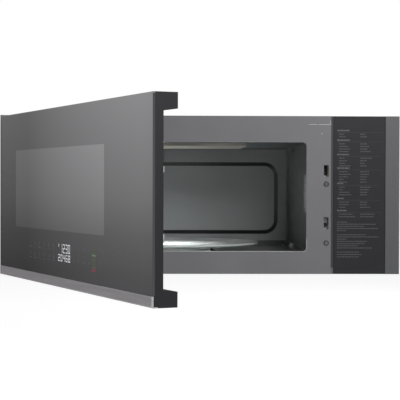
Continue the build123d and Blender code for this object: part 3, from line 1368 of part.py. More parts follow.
with BuildPart() as damper_flap:
    with BuildSketch(side(FLAP_PIN_END - OUT_W / 2)):
        with Locations((FLAP_PIN_Y, FLAP_PIN_Z)):
            Circle(FLAP_PIN_R)
    extrude(amount=OUT_W - 2 * FLAP_PIN_END)
    with BuildSketch(level(FLAP_LOW)):
        span((-FLAP_X, FLAP_PIN_Y), (FLAP_X, -OUT_Y + OUT_D / 2 - COLLAR_T - FLAP_ROOM))
    extrude(amount=FLAP_T)
    with BuildSketch(level(FLAP_LOW + FLAP_T)):
        with Locations((0, FLAP_PIN_R - OUT_Y)):
            with GridLocations(FLAP_RIB_PITCH, 0, FLAP_RIBS, 1):
                Rectangle(FLAP_T, OUT_D - 2 * FLAP_RIB_IN)
    extrude(amount=FLAP_T)
damper_flap.part.label = "damper_flap"
export_step(damper_flap.part, "parts/damper_flap.step")

# Latch board: a moulded bracket behind the slots, with a ledge in each channel for the hook's tooth
TIP_Y = DOOR_BACK + HOOK_REACH             # tip of a hook with the door closed
CHANNEL_END = TIP_Y + PLUNGER_GAP
SWITCH_Y = CHANNEL_END + PLUNGER_OUT
SWITCH_LEFT = HOOK_X - SWITCH_L / 2
SWITCH_UPPER = SLOT_Z[0] + SWITCH_UP[0]
SWITCH_Z = (SWITCH_UPPER, SWITCH_UPPER + SWITCH_T + SWITCH_APART, SLOT_Z[1] + SWITCH_UP[1])
LEDGE_TOP = HOOK_RISE + HOOK_TOOTH - LEDGE_GAP
LEDGE_Y = TIP_Y - TOOTH_L - LEDGE_GAP

with BuildPart() as latch_board:
    with BuildSketch(front(PLATE_Y)):
        span((CAV_RIGHT + LATCH_BOARD_IN, SLOT_Z[1] - LATCH_BOARD_DOWN),
             (PLATE_X, SLOT_Z[0] + SLOT_H + LATCH_BOARD_UP))
        for z in LATCH_SCREW_Z:
            with Locations((LATCH_X, z)):
                Circle(LATCH_SCREW_SHANK[0], mode=Mode.SUBTRACT)
    extrude(amount=-LATCH_BOARD_T)
    for z in SLOT_Z:
        with BuildSketch(front(PLATE_Y + LATCH_BOARD_T)):
            span((SWITCH_LEFT - SWITCH_WALL, z - LATCH_BOARD_T), (PLATE_X, z + SLOT_H + LATCH_BOARD_T))
        extrude(amount=PLATE_Y + LATCH_BOARD_T - CHANNEL_END)
        with BuildSketch(front(PLATE_Y)):
            span((LATCH_X - SLOT_W / 2, z), (LATCH_X + SLOT_W / 2, z + SLOT_H))
        extrude(amount=PLATE_Y - CHANNEL_END, mode=Mode.SUBTRACT)
        with BuildSketch(side(LATCH_X - SLOT_W / 2)):
            with BuildLine():
                Polyline(
                    (LEDGE_Y - LEDGE_L, z),
                    (LEDGE_Y, z),
                    (LEDGE_Y, z + LEDGE_TOP),
                    (LEDGE_Y - LEDGE_FLAT, z + LEDGE_TOP),
                    close=True,
                )
            make_face()
        extrude(amount=SLOT_W)
        with BuildSketch(side(SWITCH_LEFT)):
            span((CHANNEL_END - SWITCH_WALL, z - LATCH_BOARD_T),
                 (SWITCH_Y + SWITCH_D, z + SLOT_H + LATCH_BOARD_T))
        extrude(amount=-SWITCH_WALL)
latch_board.part.label = "latch_board"
export_step(latch_board.part, "parts/latch_board.step")

# Door switches: three small bodies behind the hooks, each with a plunger hole and two terminals
with BuildPart() as door_switches:
    for z in SWITCH_Z:
        with BuildSketch(front(SWITCH_Y)):
            with Locations((HOOK_X, z)):
                Rectangle(SWITCH_L, SWITCH_T)
        extrude(amount=-SWITCH_D)
        with BuildSketch(front(SWITCH_Y)):
            with Locations((HOOK_X, z)):
                Rectangle(PLUNGER_SIZE + 2 * GAP, PLUNGER_SIZE + 2 * GAP)
        extrude(amount=-(PLUNGER_IN + PLUNGER_TRAVEL + GAP), mode=Mode.SUBTRACT)
        with BuildSketch(front(SWITCH_Y + SWITCH_D)):
            with Locations((HOOK_X, z)):
                with GridLocations(TERMINAL_PITCH, 0, 2, 1):
                    Rectangle(TERMINAL_T, TERMINAL_W)
        extrude(amount=-TERMINAL_L)
door_switches.part.label = "door_switches"
export_step(door_switches.part, "parts/door_switches.step")

for number, z in enumerate(SWITCH_Z, start=1):
    with BuildPart() as plunger:
        with BuildSketch(front(SWITCH_Y + PLUNGER_IN)):
            with Locations((HOOK_X, z)):
                Rectangle(PLUNGER_SIZE, PLUNGER_SIZE)
        extrude(amount=PLUNGER_IN + PLUNGER_OUT)
        chamfer(plunger.faces().sort_by(Axis.Y)[0].edges(), PLUNGER_EDGE)
    plunger.part.label = f"switch_plunger_{number}"
    export_step(plunger.part, f"parts/switch_plunger_{number}.step")

# Lamp lenses in the underside, and the lamp modules above them
with BuildPart() as lamp_lenses:
    for x in LENS_X:
        with BuildSketch(level(0)):
            with Locations((x, LENS_AT)):
                RectangleRounded(LENS_W, LENS_D, LENS_R)
        extrude(amount=LENS_T)
        with BuildSketch(level(SHEET)):
            with Locations((x, LENS_AT)):
                Rectangle(LENS_W + 2 * LENS_RIM, LENS_D + 2 * LENS_RIM)
        extrude(amount=LENS_T - SHEET)
lamp_lenses.part.label = "lamp_lenses"
export_step(lamp_lenses.part, "parts/lamp_lenses.step")

with BuildPart() as lamp_modules:
    for x in LENS_X:
        with BuildSketch(level(LENS_T)):
            with Locations((x, LENS_AT)):
                Rectangle(LENS_W, LENS_D)
                Rectangle(LENS_W - 2 * LAMP_WALL, LENS_D - 2 * LAMP_WALL, mode=Mode.SUBTRACT)
        extrude(amount=LAMP_H)
        with BuildSketch(level(LENS_T + LAMP_H - LAMP_WALL)):
            with Locations((x, LENS_AT)):
                Rectangle(LENS_W, LENS_D)
        extrude(amount=LAMP_WALL)
        with BuildSketch(level(LENS_T + LAMP_H - LAMP_WALL)):
            with Locations((x, LENS_AT)):
                with GridLocations(LAMP_CHIP_PITCH, 0, 3, 1):
                    Rectangle(LAMP_CHIP, LAMP_CHIP)
        extrude(amount=-LAMP_CHIP_H)
lamp_modules.part.label = "lamp_modules"
export_step(lamp_modules.part, "parts/lamp_modules.step")

# Grease filters: a rim with a mesh pad and a small pull, resting on ledges of the base plate
FILTER_Z = SHEET + GAP


def grease_filter(x):
    """Filter centred at x, with its pull at the front."""
    with BuildPart() as grease:
        with BuildSketch(level(FILTER_Z)):
            with Locations((x, -FILTER_Y)):
                RectangleRounded(FILTER_W, FILTER_D, FILTER_R)
                Rectangle(FILTER_W - 2 * FILTER_RIM, FILTER_D - 2 * FILTER_RIM, mode=Mode.SUBTRACT)
        extrude(amount=FILTER_H)
        chamfer(grease.faces().sort_by(Axis.Z)[-1].outer_wire().edges(), FILTER_EDGE)
        with BuildSketch(level(FILTER_Z + FILTER_PAD_IN)):
            with Locations((x, -FILTER_Y)):
                Rectangle(FILTER_W - 2 * FILTER_RIM, FILTER_D - 2 * FILTER_RIM)
        extrude(amount=FILTER_H - 2 * FILTER_PAD_IN)
        with BuildSketch(level(FILTER_Z)):
            with Locations((x, -FILTER_Y - FILTER_D / 2 + FILTER_RIM + PULL_IN)):
                Rectangle(PULL_L, PULL_W)
                Rectangle(PULL_L - 2 * PULL_RIM, PULL_W - 2 * PULL_RIM, mode=Mode.SUBTRACT)
        extrude(amount=FILTER_PAD_IN)
    return grease


for name, x in zip(("left", "right"), FILTER_X):
    grease = grease_filter(x)
    grease.part.label = f"grease_filter_{name}"
    export_step(grease.part, f"parts/grease_filter_{name}.step")

# Cord bushing: a sleeve with a six-sided head in the top of the case
with BuildPart() as cord_bushing:
    with BuildSketch(level(BODY_H - BUSHING_L)):
        with Locations((CORD_X, -CORD_Y)):
            Circle(BUSHING_R)
    extrude(amount=BUSHING_L)
    with BuildSketch(level(BODY_H)):
        with Locations((CORD_X, -CORD_Y)):
            RegularPolygon(BUSHING_R + BUSHING_FLANGE, 6)
    extrude(amount=BUSHING_FLANGE)
    with BuildSketch(level(BODY_H + BUSHING_FLANGE)):
        with Locations((CORD_X, -CORD_Y)):
            Circle(CORD_R)
    extrude(amount=-BUSHING_L - BUSHING_FLANGE, mode=Mode.SUBTRACT)
cord_bushing.part.label = "cord_bushing"
export_step(cord_bushing.part, "parts/cord_bushing.step")

# Housing screws: two behind the rings in the front plate, and a row of heads on the rear panel
with BuildPart() as housing_screws:
    for z in LATCH_SCREW_Z:
        with BuildSketch(front(PLATE_Y)):
            with Locations((LATCH_X, z)):
                Circle(LATCH_SCREW_R)
        extrude(amount=SHEET - LATCH_SCREW_SINK)
        with BuildSketch(front(PLATE_Y)):
            with Locations((LATCH_X, z)):
                Circle(LATCH_SCREW_SHANK[0])
        extrude(amount=-LATCH_SCREW_SHANK[1])
    with BuildSketch(front(REAR_Y)):
        with Locations((0, BODY_H / 2)):
            with GridLocations(BODY_W - 2 * SCREW_IN, BODY_H - 2 * SCREW_DOWN, 2, 2):
                RegularPolygon(SCREW_HEAD_R, 6)
            with GridLocations(SCREW_PITCH, BODY_H - 2 * SCREW_IN, 2, 2):
                RegularPolygon(SCREW_HEAD_R, 6)
    extrude(amount=-SCREW_HEAD)
housing_screws.part.label = "housing_screws"
export_step(housing_screws.part, "parts/housing_screws.step")

HOLES_X = HINGE_X + (HINGE_PLATE_W - HINGE_PLATE_OUT) / 2


def hinge_plate(tongue_z, up):
    """Folded steel hinge: a flange behind the front plate, a tongue through it and a pin in the door."""
    flange_z = tongue_z if up > 0 else tongue_z + TONGUE_T
    pin_z = tongue_z + TONGUE_T if up > 0 else tongue_z
    back = PLATE_Y + HINGE_PLATE_T
    with BuildPart() as hinge:
        with BuildSketch(front(PLATE_Y)):
            span((HINGE_X - HINGE_PLATE_OUT, flange_z),
                 (HINGE_X + HINGE_PLATE_W, flange_z + up * HINGE_PLATE_H))
        extrude(amount=-HINGE_PLATE_T)
        with BuildSketch(level(tongue_z)):
            with Locations((HINGE_X, HINGE_Y)):
                Circle(TONGUE_R)
            span((HINGE_X - TONGUE_R, HINGE_Y), (HINGE_X + TONGUE_R, back))
        extrude(amount=TONGUE_T)
        with BuildSketch(level(pin_z)):
            with Locations((HINGE_X, HINGE_Y)):
                Circle(PIN_R)
        extrude(amount=up * PIN_L)
        with BuildSketch(front(back)):
            with Locations((HOLES_X, flange_z + up * HINGE_PLATE_H / 2)):
                with GridLocations(HINGE_HOLE_PITCH, 0, 2, 1):
                    Circle(HINGE_HOLE_R)
        extrude(amount=HINGE_PLATE_T, mode=Mode.SUBTRACT)
    return hinge


hinge_lower = hinge_plate(HINGE_LOW_Z, 1)
hinge_lower.part.label = "hinge_lower"
export_step(hinge_lower.part, "parts/hinge_lower.step")

hinge_upper = hinge_plate(HINGE_HIGH_Z, -1)
hinge_upper.part.label = "hinge_upper"
export_step(hinge_upper.part, "parts/hinge_upper.step")

# Door glass: one pane over the whole door above the brushed strip
with BuildPart() as door_glass:
    with BuildSketch(front(SLAB_Y)):
        span((DOOR_LEFT, GLASS_Z), (DOOR_RIGHT, DOOR_TOP), GLASS_R)
    extrude(amount=GLASS_T)
    chamfer(door_glass.faces().sort_by(Axis.Y)[0].edges(), GLASS_EDGE)
door_glass.part = swung(door_glass.part)
door_glass.part.label = "door_glass"
export_step(door_glass.part, "parts/door_glass.step")

# Brushed strip: a folded cap under the glass
with BuildPart() as door_trim_strip:
    with BuildSketch(side(DOOR_LEFT)):
        with BuildLine():
            Polyline(
                (DOOR_FRONT, DOOR_Z),
                (DOOR_FRONT + STRIP_LIP, DOOR_Z),
                (DOOR_FRONT + STRIP_LIP, DOOR_Z + STRIP_T),
                (DOOR_FRONT + STRIP_T, DOOR_Z + STRIP_T),
                (DOOR_FRONT + STRIP_T, GLASS_Z),
                (DOOR_FRONT, GLASS_Z),
                close=True,
            )
        make_face()
    extrude(amount=DOOR_W)
    fillet(door_trim_strip.edges().filter_by(Axis.X).group_by(Axis.Y)[0].sort_by(Axis.Z)[0], STRIP_R)
door_trim_strip.part = swung(door_trim_strip.part)
door_trim_strip.part.label = "door_trim_strip"
export_step(door_trim_strip.part, "parts/door_trim_strip.step")

# Door frame: a moulded carrier with a thick part round the choke and a thin part with a finger pocket
BAR_BACK = DOOR_BACK - CHOKE_COVER_T - GAP
BAR_FRONT = BAR_BACK - LATCH_BAR_D
BAR_LOW = SLOT_Z[1] - BAR_DOWN
BAR_TOP = SLOT_Z[0] + HOOK_RISE + HOOK_TOOTH + HOOK_H + BAR_UP

with BuildPart() as door_frame:
    with BuildSketch(level(DOOR_Z)):
        with BuildLine():
            corner = CenterArc((DOOR_LEFT + HINGE_IN, DOOR_BACK - HINGE_IN), HINGE_IN, 90, 90)
            Polyline(
                corner @ 1,
                (DOOR_LEFT, DOOR_FRONT + STRIP_T),
                (DOOR_RIGHT, DOOR_FRONT + STRIP_T),
                (DOOR_RIGHT, THIN_Y),
                (THICK_X, THIN_Y),
                (THICK_X, DOOR_BACK),
                corner @ 0,
            )
        make_face()
    extrude(amount=DOOR_H)
    with BuildSketch(side(THICK_X)):
        with BuildLine():
            Polyline(
                (THIN_Y, DOOR_TOP),
                (DOOR_BACK, DOOR_TOP),
                (DOOR_BACK, DOOR_TOP - HOOK_TOP[1]),
                (THIN_Y, DOOR_TOP - HOOK_TOP[0]),
                close=True,
            )
        make_face()
        with BuildLine():
            Polyline(
                (THIN_Y, DOOR_Z),
                (DOOR_BACK, DOOR_Z),
                (DOOR_BACK, HOOK_BOTTOM[1]),
                (THIN_Y, HOOK_BOTTOM[0]),
                close=True,
            )
        make_face()
    extrude(amount=DOOR_RIGHT - THICK_X)
    with BuildSketch(front(SLAB_Y)):
        span((DOOR_LEFT - OVER, GLASS_Z), (DOOR_RIGHT + OVER, DOOR_TOP + OVER))
    extrude(amount=GLASS_T, mode=Mode.SUBTRACT)
    with BuildSketch(level(DOOR_Z)):
        span((DOOR_LEFT, DOOR_FRONT), (DOOR_RIGHT, DOOR_FRONT + STRIP_LIP))
    extrude(amount=STRIP_T, mode=Mode.SUBTRACT)
    with BuildSketch(front(DOOR_BACK)):
        span((CHOKE_COVER_X[0], CHOKE_COVER_Z[0]), (CHOKE_COVER_X[1], CHOKE_COVER_Z[1]))
    extrude(amount=CHOKE_COVER_T, mode=Mode.SUBTRACT)
    with BuildSketch(front(DOOR_BACK)):
        span((CHOKE_X[0], CHOKE_Z[0]), (CHOKE_X[1], CHOKE_Z[1]), CHOKE_R)
    extrude(amount=DOOR_BACK - THIN_Y, mode=Mode.SUBTRACT)
    with BuildSketch(front(DOOR_BACK)):
        span((HOOK_X - HOOK_T / 2 - GAP, BAR_LOW - GAP),
             (HOOK_X + HOOK_T / 2 + GAP, BAR_TOP + SPRING_L))
    extrude(amount=DOOR_BACK - BAR_FRONT + GAP, mode=Mode.SUBTRACT)
    with BuildSketch(front(THIN_Y)):
        span((WIN_X[0], WIN_Z[0]), (WIN_X[1], WIN_Z[1]))
    extrude(amount=THIN_Y - SLAB_Y, mode=Mode.SUBTRACT)
    with BuildSketch(front(SLAB_Y + BOARD_POCKET)):
        span((BOARD_X[0] - BOARD_ROOM, BOARD_Z[0] - BOARD_ROOM),
             (BOARD_X[1] + BOARD_ROOM, BOARD_Z[1] + BOARD_ROOM))
    extrude(amount=BOARD_POCKET, mode=Mode.SUBTRACT)
    for low, high in ((DOOR_Z, HINGE_LOW_Z + TONGUE_T + HINGE_ROOM),
                      (HINGE_HIGH_Z - HINGE_ROOM, DOOR_TOP)):
        with BuildSketch(level(low)):
            span((DOOR_LEFT, SLAB_Y), (HINGE_X + TONGUE_R + HINGE_ROOM, DOOR_BACK))
        extrude(amount=high - low, mode=Mode.SUBTRACT)
    for low, reach in ((HINGE_LOW_Z + TONGUE_T, PIN_L + PIN_END), (HINGE_HIGH_Z, -PIN_L - PIN_END)):
        with BuildSketch(level(low)):
            with Locations((HINGE_X, HINGE_Y)):
                Circle(PIN_R + PLAY)
        extrude(amount=reach, mode=Mode.SUBTRACT)
door_frame.part = swung(door_frame.part)
door_frame.part.label = "door_frame"
export_step(door_frame.part, "parts/door_frame.step")

# Choke panel: a pressed steel pan with a channel round a raised field
COVER_FRONT = DOOR_BACK - CHOKE_COVER_T
FIELD_Y = COVER_FRONT - PANE_T             # back of the raised field

with BuildPart() as door_choke:
    with BuildSketch(front(COVER_FRONT)):
        span((CHOKE_X[0], CHOKE_Z[0]), (CHOKE_X[1], CHOKE_Z[1]), CHOKE_R)
        span((CHOKE_X[0] + CHOKE_T, CHOKE_Z[0] + CHOKE_T), (CHOKE_X[1] - CHOKE_T, CHOKE_Z[1] - CHOKE_T),
             CHOKE_R - CHOKE_T, mode=Mode.SUBTRACT)
    extrude(amount=COVER_FRONT - THIN_Y)
    with BuildSketch(front(THIN_Y + CHOKE_T)):
        span((CHOKE_X[0], CHOKE_Z[0]), (CHOKE_X[1], CHOKE_Z[1]), CHOKE_R)
    extrude(amount=CHOKE_T)
    with BuildSketch(front(FIELD_Y)):
        span((FIELD_X[0], FIELD_Z[0]), (FIELD_X[1], FIELD_Z[1]))
    extrude(amount=FIELD_Y - THIN_Y)
    with BuildSketch(front(FIELD_Y - CHOKE_T)):
        span((FIELD_X[0] + CHOKE_T, FIELD_Z[0] + CHOKE_T), (FIELD_X[1] - CHOKE_T, FIELD_Z[1] - CHOKE_T))
    extrude(amount=FIELD_Y - CHOKE_T - THIN_Y, mode=Mode.SUBTRACT)
    with BuildSketch(front(FIELD_Y)):
        span((WIN_X[0], WIN_Z[0]), (WIN_X[1], WIN_Z[1]))
    extrude(amount=CHOKE_T, mode=Mode.SUBTRACT)
door_choke.part = swung(door_choke.part)
door_choke.part.label = "door_choke"
export_step(door_choke.part, "parts/door_choke.step")

# Door screen: a thin perforated sheet in front of the raised field's window
with BuildPart() as door_screen:
    with BuildSketch(front(FIELD_Y - CHOKE_T)):
        span((WIN_X[0] - PANE_RIM, WIN_Z[0] - PANE_RIM), (WIN_X[1] + PANE_RIM, WIN_Z[1] + PANE_RIM))
    extrude(amount=SCREEN_T)
door_screen.part = swung(door_screen.part)
door_screen.part.label = "door_screen"
export_step(door_screen.part, "parts/door_screen.step")

# Inner window: a clear pane between the raised field and the choke cover
with BuildPart() as inner_window:
    with BuildSketch(front(COVER_FRONT)):
        span((WIN_X[0] - PANE_RIM, WIN_Z[0] - PANE_RIM), (WIN_X[1] + PANE_RIM, WIN_Z[1] + PANE_RIM))
    extrude(amount=PANE_T)
inner_window.part = swung(inner_window.part)
inner_window.part.label = "inner_window"
export_step(inner_window.part, "parts/inner_window.step")

# Choke cover: a flat moulding over the choke, open at the window and slotted for the hooks
HOOK_SPAN = HOOK_TOOTH + HOOK_H + LATCH_TRAVEL

with BuildPart() as choke_cover:
    with BuildSketch(front(DOOR_BACK)):
        span((CHOKE_COVER_X[0], CHOKE_COVER_Z[0]), (CHOKE_COVER_X[1], CHOKE_COVER_Z[1]))
        span((WIN_X[0], WIN_Z[0]), (WIN_X[1], WIN_Z[1]), mode=Mode.SUBTRACT)
        for z in SLOT_Z:
            span((HOOK_X - HOOK_T / 2 - HOOK_ROOM, z + HOOK_RISE - HOOK_ROOM),
                 (HOOK_X + HOOK_T / 2 + HOOK_ROOM, z + HOOK_RISE + HOOK_SPAN + HOOK_ROOM),
                 mode=Mode.SUBTRACT)
    extrude(amount=CHOKE_COVER_T)
choke_cover.part = swung(choke_cover.part)
choke_cover.part.label = "choke_cover"
export_step(choke_cover.part, "parts/choke_cover.step")

# Touch board behind the glass, on four posts, with the display in front of it
TOUCH_Y = SLAB_Y + DISPLAY_T

with BuildPart() as touch_board:
    with BuildSketch(front(TOUCH_Y + BOARD_T)):
        span((BOARD_X[0], BOARD_Z[0]), (BOARD_X[1], BOARD_Z[1]))
    extrude(amount=BOARD_T)
    with BuildSketch(front(SLAB_Y + BOARD_POCKET)):
        with Locations(((BOARD_X[0] + BOARD_X[1]) / 2, (BOARD_Z[0] + BOARD_Z[1]) / 2)):
            with GridLocations(BOARD_W - 2 * POST_IN, BOARD_Z[1] - BOARD_Z[0] - 2 * POST_IN, 2, 2):
                Rectangle(POST_SIZE, POST_SIZE)
    extrude(amount=BOARD_POCKET - DISPLAY_T - BOARD_T)
touch_board.part = swung(touch_board.part)
touch_board.part.label = "touch_board"
export_step(touch_board.part, "parts/touch_board.step")

with BuildPart() as display_module:
    with BuildSketch(front(TOUCH_Y)):
        span((DISPLAY_X[0], DISPLAY_Z[0]), (DISPLAY_X[1], DISPLAY_Z[1]))
    extrude(amount=DISPLAY_T)
display_module.part = swung(display_module.part)
display_module.part.label = "display_module"
export_step(display_module.part, "parts/display_module.step")

# Door latch: a sliding bar with two toothed hooks that reach through the choke cover
HOOK_BASE = BAR_BACK - HOOK_ROOT

with BuildPart() as door_latch:
    with BuildSketch(side(HOOK_X - HOOK_T / 2)):
        span((BAR_FRONT, BAR_LOW), (BAR_BACK, BAR_TOP))
        for z in SLOT_Z:
            tooth = z + HOOK_RISE
            with BuildLine():
                Polyline(
                    (HOOK_BASE, tooth + HOOK_TOOTH),
                    (TIP_Y - TOOTH_L, tooth + HOOK_TOOTH),
                    (TIP_Y - TOOTH_L, tooth),
                    (TIP_Y - HOOK_NOSE, tooth),
                    (TIP_Y, tooth + HOOK_NOSE_H),
                    (TIP_Y, tooth + HOOK_TOOTH + HOOK_H),
                    (HOOK_BASE, tooth + HOOK_TOOTH + HOOK_H),
                    close=True,
                )
            make_face()
        with Locations(((BAR_FRONT + BAR_BACK) / 2, (BAR_LOW + BAR_TOP) / 2)):
            SlotOverall(BAR_SLOT_L, BAR_SLOT_W, rotation=90, mode=Mode.SUBTRACT)
    extrude(amount=HOOK_T)
door_latch.part = swung(door_latch.part)
door_latch.part.label = "door_latch"
export_step(door_latch.part, "parts/door_latch.step")

# Latch spring: a small coil between the bar and the top of its channel, in short straight pieces
SPRING_RISE = SPRING_L - 2 * SPRING_WIRE - 2 * SPRING_END
SPRING_FOOT = BAR_TOP + SPRING_WIRE + SPRING_END
SPRING_Y = (BAR_FRONT + BAR_BACK) / 2
SPRING_STEPS = SPRING_TURNS * SPRING_SIDES


def coil_point(step):
    """Point of the coil's centre line, a number of steps above its foot."""
    turn = 2 * math.pi * step / SPRING_SIDES
    rise = SPRING_RISE * step / SPRING_STEPS
    return (HOOK_X + SPRING_R * math.cos(turn), SPRING_Y + SPRING_R * math.sin(turn), SPRING_FOOT + rise)


with BuildPart() as latch_spring:
    with BuildLine() as coil:
        Polyline(*[coil_point(step) for step in range(SPRING_STEPS + 1)])
    with BuildSketch(Plane(coil.line @ 0, z_dir=coil.line % 0)):
        RegularPolygon(SPRING_WIRE, 4)
    sweep(path=coil.line, transition=Transition.RIGHT)
latch_spring.part = swung(latch_spring.part)
latch_spring.part.label = "latch_spring"
export_step(latch_spring.part, "parts/latch_spring.step")
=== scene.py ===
import json
import math
import random

import bmesh
import bpy
from mathutils import Matrix, Vector


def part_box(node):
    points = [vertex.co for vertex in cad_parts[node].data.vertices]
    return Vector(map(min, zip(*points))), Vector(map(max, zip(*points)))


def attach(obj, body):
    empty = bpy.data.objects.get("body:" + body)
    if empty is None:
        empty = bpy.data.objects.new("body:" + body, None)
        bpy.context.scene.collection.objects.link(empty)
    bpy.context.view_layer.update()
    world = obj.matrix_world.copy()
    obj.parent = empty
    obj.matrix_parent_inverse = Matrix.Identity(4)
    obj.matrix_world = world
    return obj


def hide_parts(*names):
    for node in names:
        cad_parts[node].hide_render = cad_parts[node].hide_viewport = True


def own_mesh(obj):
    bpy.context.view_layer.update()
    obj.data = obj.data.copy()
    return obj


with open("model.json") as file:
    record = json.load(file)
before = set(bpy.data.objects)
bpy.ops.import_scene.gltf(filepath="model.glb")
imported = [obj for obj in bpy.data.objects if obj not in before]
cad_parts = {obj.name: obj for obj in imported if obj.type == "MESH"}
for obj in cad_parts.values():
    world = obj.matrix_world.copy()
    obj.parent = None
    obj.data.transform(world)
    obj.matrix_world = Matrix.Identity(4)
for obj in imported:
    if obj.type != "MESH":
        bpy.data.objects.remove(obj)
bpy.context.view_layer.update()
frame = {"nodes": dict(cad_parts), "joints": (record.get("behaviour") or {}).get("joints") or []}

# Camera, as fitted to the photograph's edges and corners
CAMERA_AT = (-0.05656, -2.84365, 0.17138)
CAMERA_YAW = -0.022948
CAMERA_PITCH = -0.012635
CAMERA_ROLL = -0.002521
CAMERA_LENS = 114.77        # on a 36 mm sensor

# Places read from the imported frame, in metres
HINGE = next(joint for joint in frame["joints"] if joint["name"] == "door_hinge")
HINGE_AT = Vector(HINGE["pos_m"])
DOOR_OPEN = math.radians(-HINGE["range_deg"][0])
SWING = Matrix.Rotation(-DOOR_OPEN, 4, "Z")
TO_DOOR = Matrix.Translation(HINGE_AT) @ SWING @ Matrix.Translation(-HINGE_AT)
PLATE_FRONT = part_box("front_frame")[0].y
GUIDE_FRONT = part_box("guide_panel")[0].y
SCREEN_LOW, SCREEN_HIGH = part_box("vent_screen")


def closed_box(node):
    """Lowest and highest corner of a door node, with the door shut."""
    back = TO_DOOR.inverted()
    corners = [back @ vertex.co for vertex in frame["nodes"][node].data.vertices]
    low = Vector([min(corner[i] for corner in corners) for i in range(3)])
    high = Vector([max(corner[i] for corner in corners) for i in range(3)])
    return low, high


GLASS_LOW = closed_box("door_glass")[0]

# Oven opening, and the sloped border of the field pressed in its back wall, which the enamel colours near
# black as painted shade
OPEN_LEFT = -0.3117
OPEN_RIGHT = 0.2023
OPEN_SILL = 0.043
OPEN_ROUND = 0.006
FIELD_SLOPE_Y = PLATE_FRONT + 0.375
FIELD_SLOPE_REACH = 0.0029

# Viewing field of the outer glass, from its lower left corner
FIELD_LOW = Vector((GLASS_LOW.x + 0.0948, 0.0, 0.0935))
FIELD_HIGH = Vector((GLASS_LOW.x + 0.544, 0.0, 0.231))


class Tree:
    """A material's nodes, joined by short calls."""

    def __init__(self, name, roughness=0.5, metallic=0.0, specular=0.5, **sockets):
        self.name = name
        self.material = bpy.data.materials.new(name)
        self.material.use_nodes = True
        self.tree = self.material.node_tree
        self.shader = self.tree.nodes["Principled BSDF"]
        self.place = self.add("ShaderNodeTexCoord").outputs["Object"]
        self.shader.inputs["Roughness"].default_value = roughness
        self.shader.inputs["Metallic"].default_value = metallic
        self.shader.inputs["Specular IOR Level"].default_value = specular
        for socket, value in sockets.items():
            self.shader.inputs[socket.replace("_", " ")].default_value = value

    def add(self, kind, inputs=None, **settings):
        node = self.tree.nodes.new(kind)
        for key, value in settings.items():
            setattr(node, key, value)
        for socket, value in (inputs or {}).items():
            self.feed(node.inputs[socket], value)
        return node

    def feed(self, socket, value):
        if isinstance(value, bpy.types.NodeSocket):
            self.tree.links.new(value, socket)
        else:
            socket.default_value = value

    def stretched(self, scale, place=None):
        inputs = {0: place or self.place, 1: scale}
        return self.add("ShaderNodeVectorMath", inputs, operation="MULTIPLY").outputs[0]

    def noise(self, scale, detail=3.0, place=None, rough=0.5):
        inputs = {"Vector": place or self.place, "Scale": scale, "Detail": detail, "Roughness": rough}
        return self.add("ShaderNodeTexNoise", inputs).outputs["Fac"]

    def cells(self, scale, place=None, feature="F1", output="Distance"):
        inputs = {"Vector": place or self.place, "Scale": scale}
        return self.add("ShaderNodeTexVoronoi", inputs, feature=feature).outputs[output]

    def span(self, value, low, high, a, b):
        inputs = {"Value": value, "From Min": low, "From Max": high, "To Min": a, "To Max": b}
        return self.add("ShaderNodeMapRange", inputs).outputs["Result"]

    def wave(self, noise, a=0.0, b=1.0):
        """A noise, stretched so that its usual range runs from a to b."""
        return self.span(noise, 0.3, 0.7, a, b)

    def sum(self, operation, a, b=0.0):
        return self.add("ShaderNodeMath", {0: a, 1: b}, operation=operation).outputs[0]

    def near(self, value, middle, reach):
        """1 where the value lies within reach of the middle, else 0."""
        return self.add("ShaderNodeMath", {0: value, 1: middle, 2: reach}, operation="COMPARE").outputs[0]

    def mix(self, factor, a, b):
        node = self.add("ShaderNodeMix", data_type="RGBA")
        self.feed(node.inputs["Factor"], factor)
        self.feed(node.inputs[6], a if isinstance(a, bpy.types.NodeSocket) else (*a, 1.0))
        self.feed(node.inputs[7], b if isinstance(b, bpy.types.NodeSocket) else (*b, 1.0))
        return node.outputs[2]

    def bump(self, height, strength, distance):
        normal = self.shader.inputs["Normal"]
        before = normal.links[0].from_socket if normal.links else None
        node = self.add("ShaderNodeBump", {"Height": height, "Strength": strength, "Distance": distance})
        if before:
            self.feed(node.inputs["Normal"], before)
        self.feed(normal, node.outputs["Normal"])

    def colour(self, value):
        self.feed(self.shader.inputs["Base Color"], value)

    def roughness(self, value):
        self.feed(self.shader.inputs["Roughness"], value)


def shade(colour, factor):
    return tuple(min(1.0, part * factor) for part in colour)


def painted(name, colour, roughness=0.5, peel=0.15, specular=0.4, spread=0.1):
    """Powder coat or enamel: slow tone changes, fine orange peel."""
    t = Tree(name, roughness, specular=specular)
    slow = t.noise(9.0, 2.0)
    fine = t.noise(900.0, 2.0)
    tone = t.sum("ADD", t.sum("MULTIPLY", slow, 0.7), t.sum("MULTIPLY", fine, 0.3))
    t.colour(t.mix(t.wave(tone), shade(colour, 1 - spread), shade(colour, 1 + spread)))
    t.roughness(t.wave(t.noise(40.0, 4.0), roughness - 0.06, roughness + 0.06))
    t.bump(t.noise(650.0, 2.0), peel, 0.0004)
    return t


def moulded(name, colour, roughness=0.5, grain=0.25, specular=0.4):
    """Injection moulding with a fine eroded grain."""
    t = Tree(name, roughness, specular=specular)
    fine = t.noise(2600.0, 2.0)
    t.colour(t.mix(t.wave(t.noise(14.0, 3.0)), shade(colour, 0.9), shade(colour, 1.1)))
    t.roughness(t.wave(fine, roughness - 0.08, roughness + 0.08))
    t.bump(fine, grain, 0.0002)
    return t


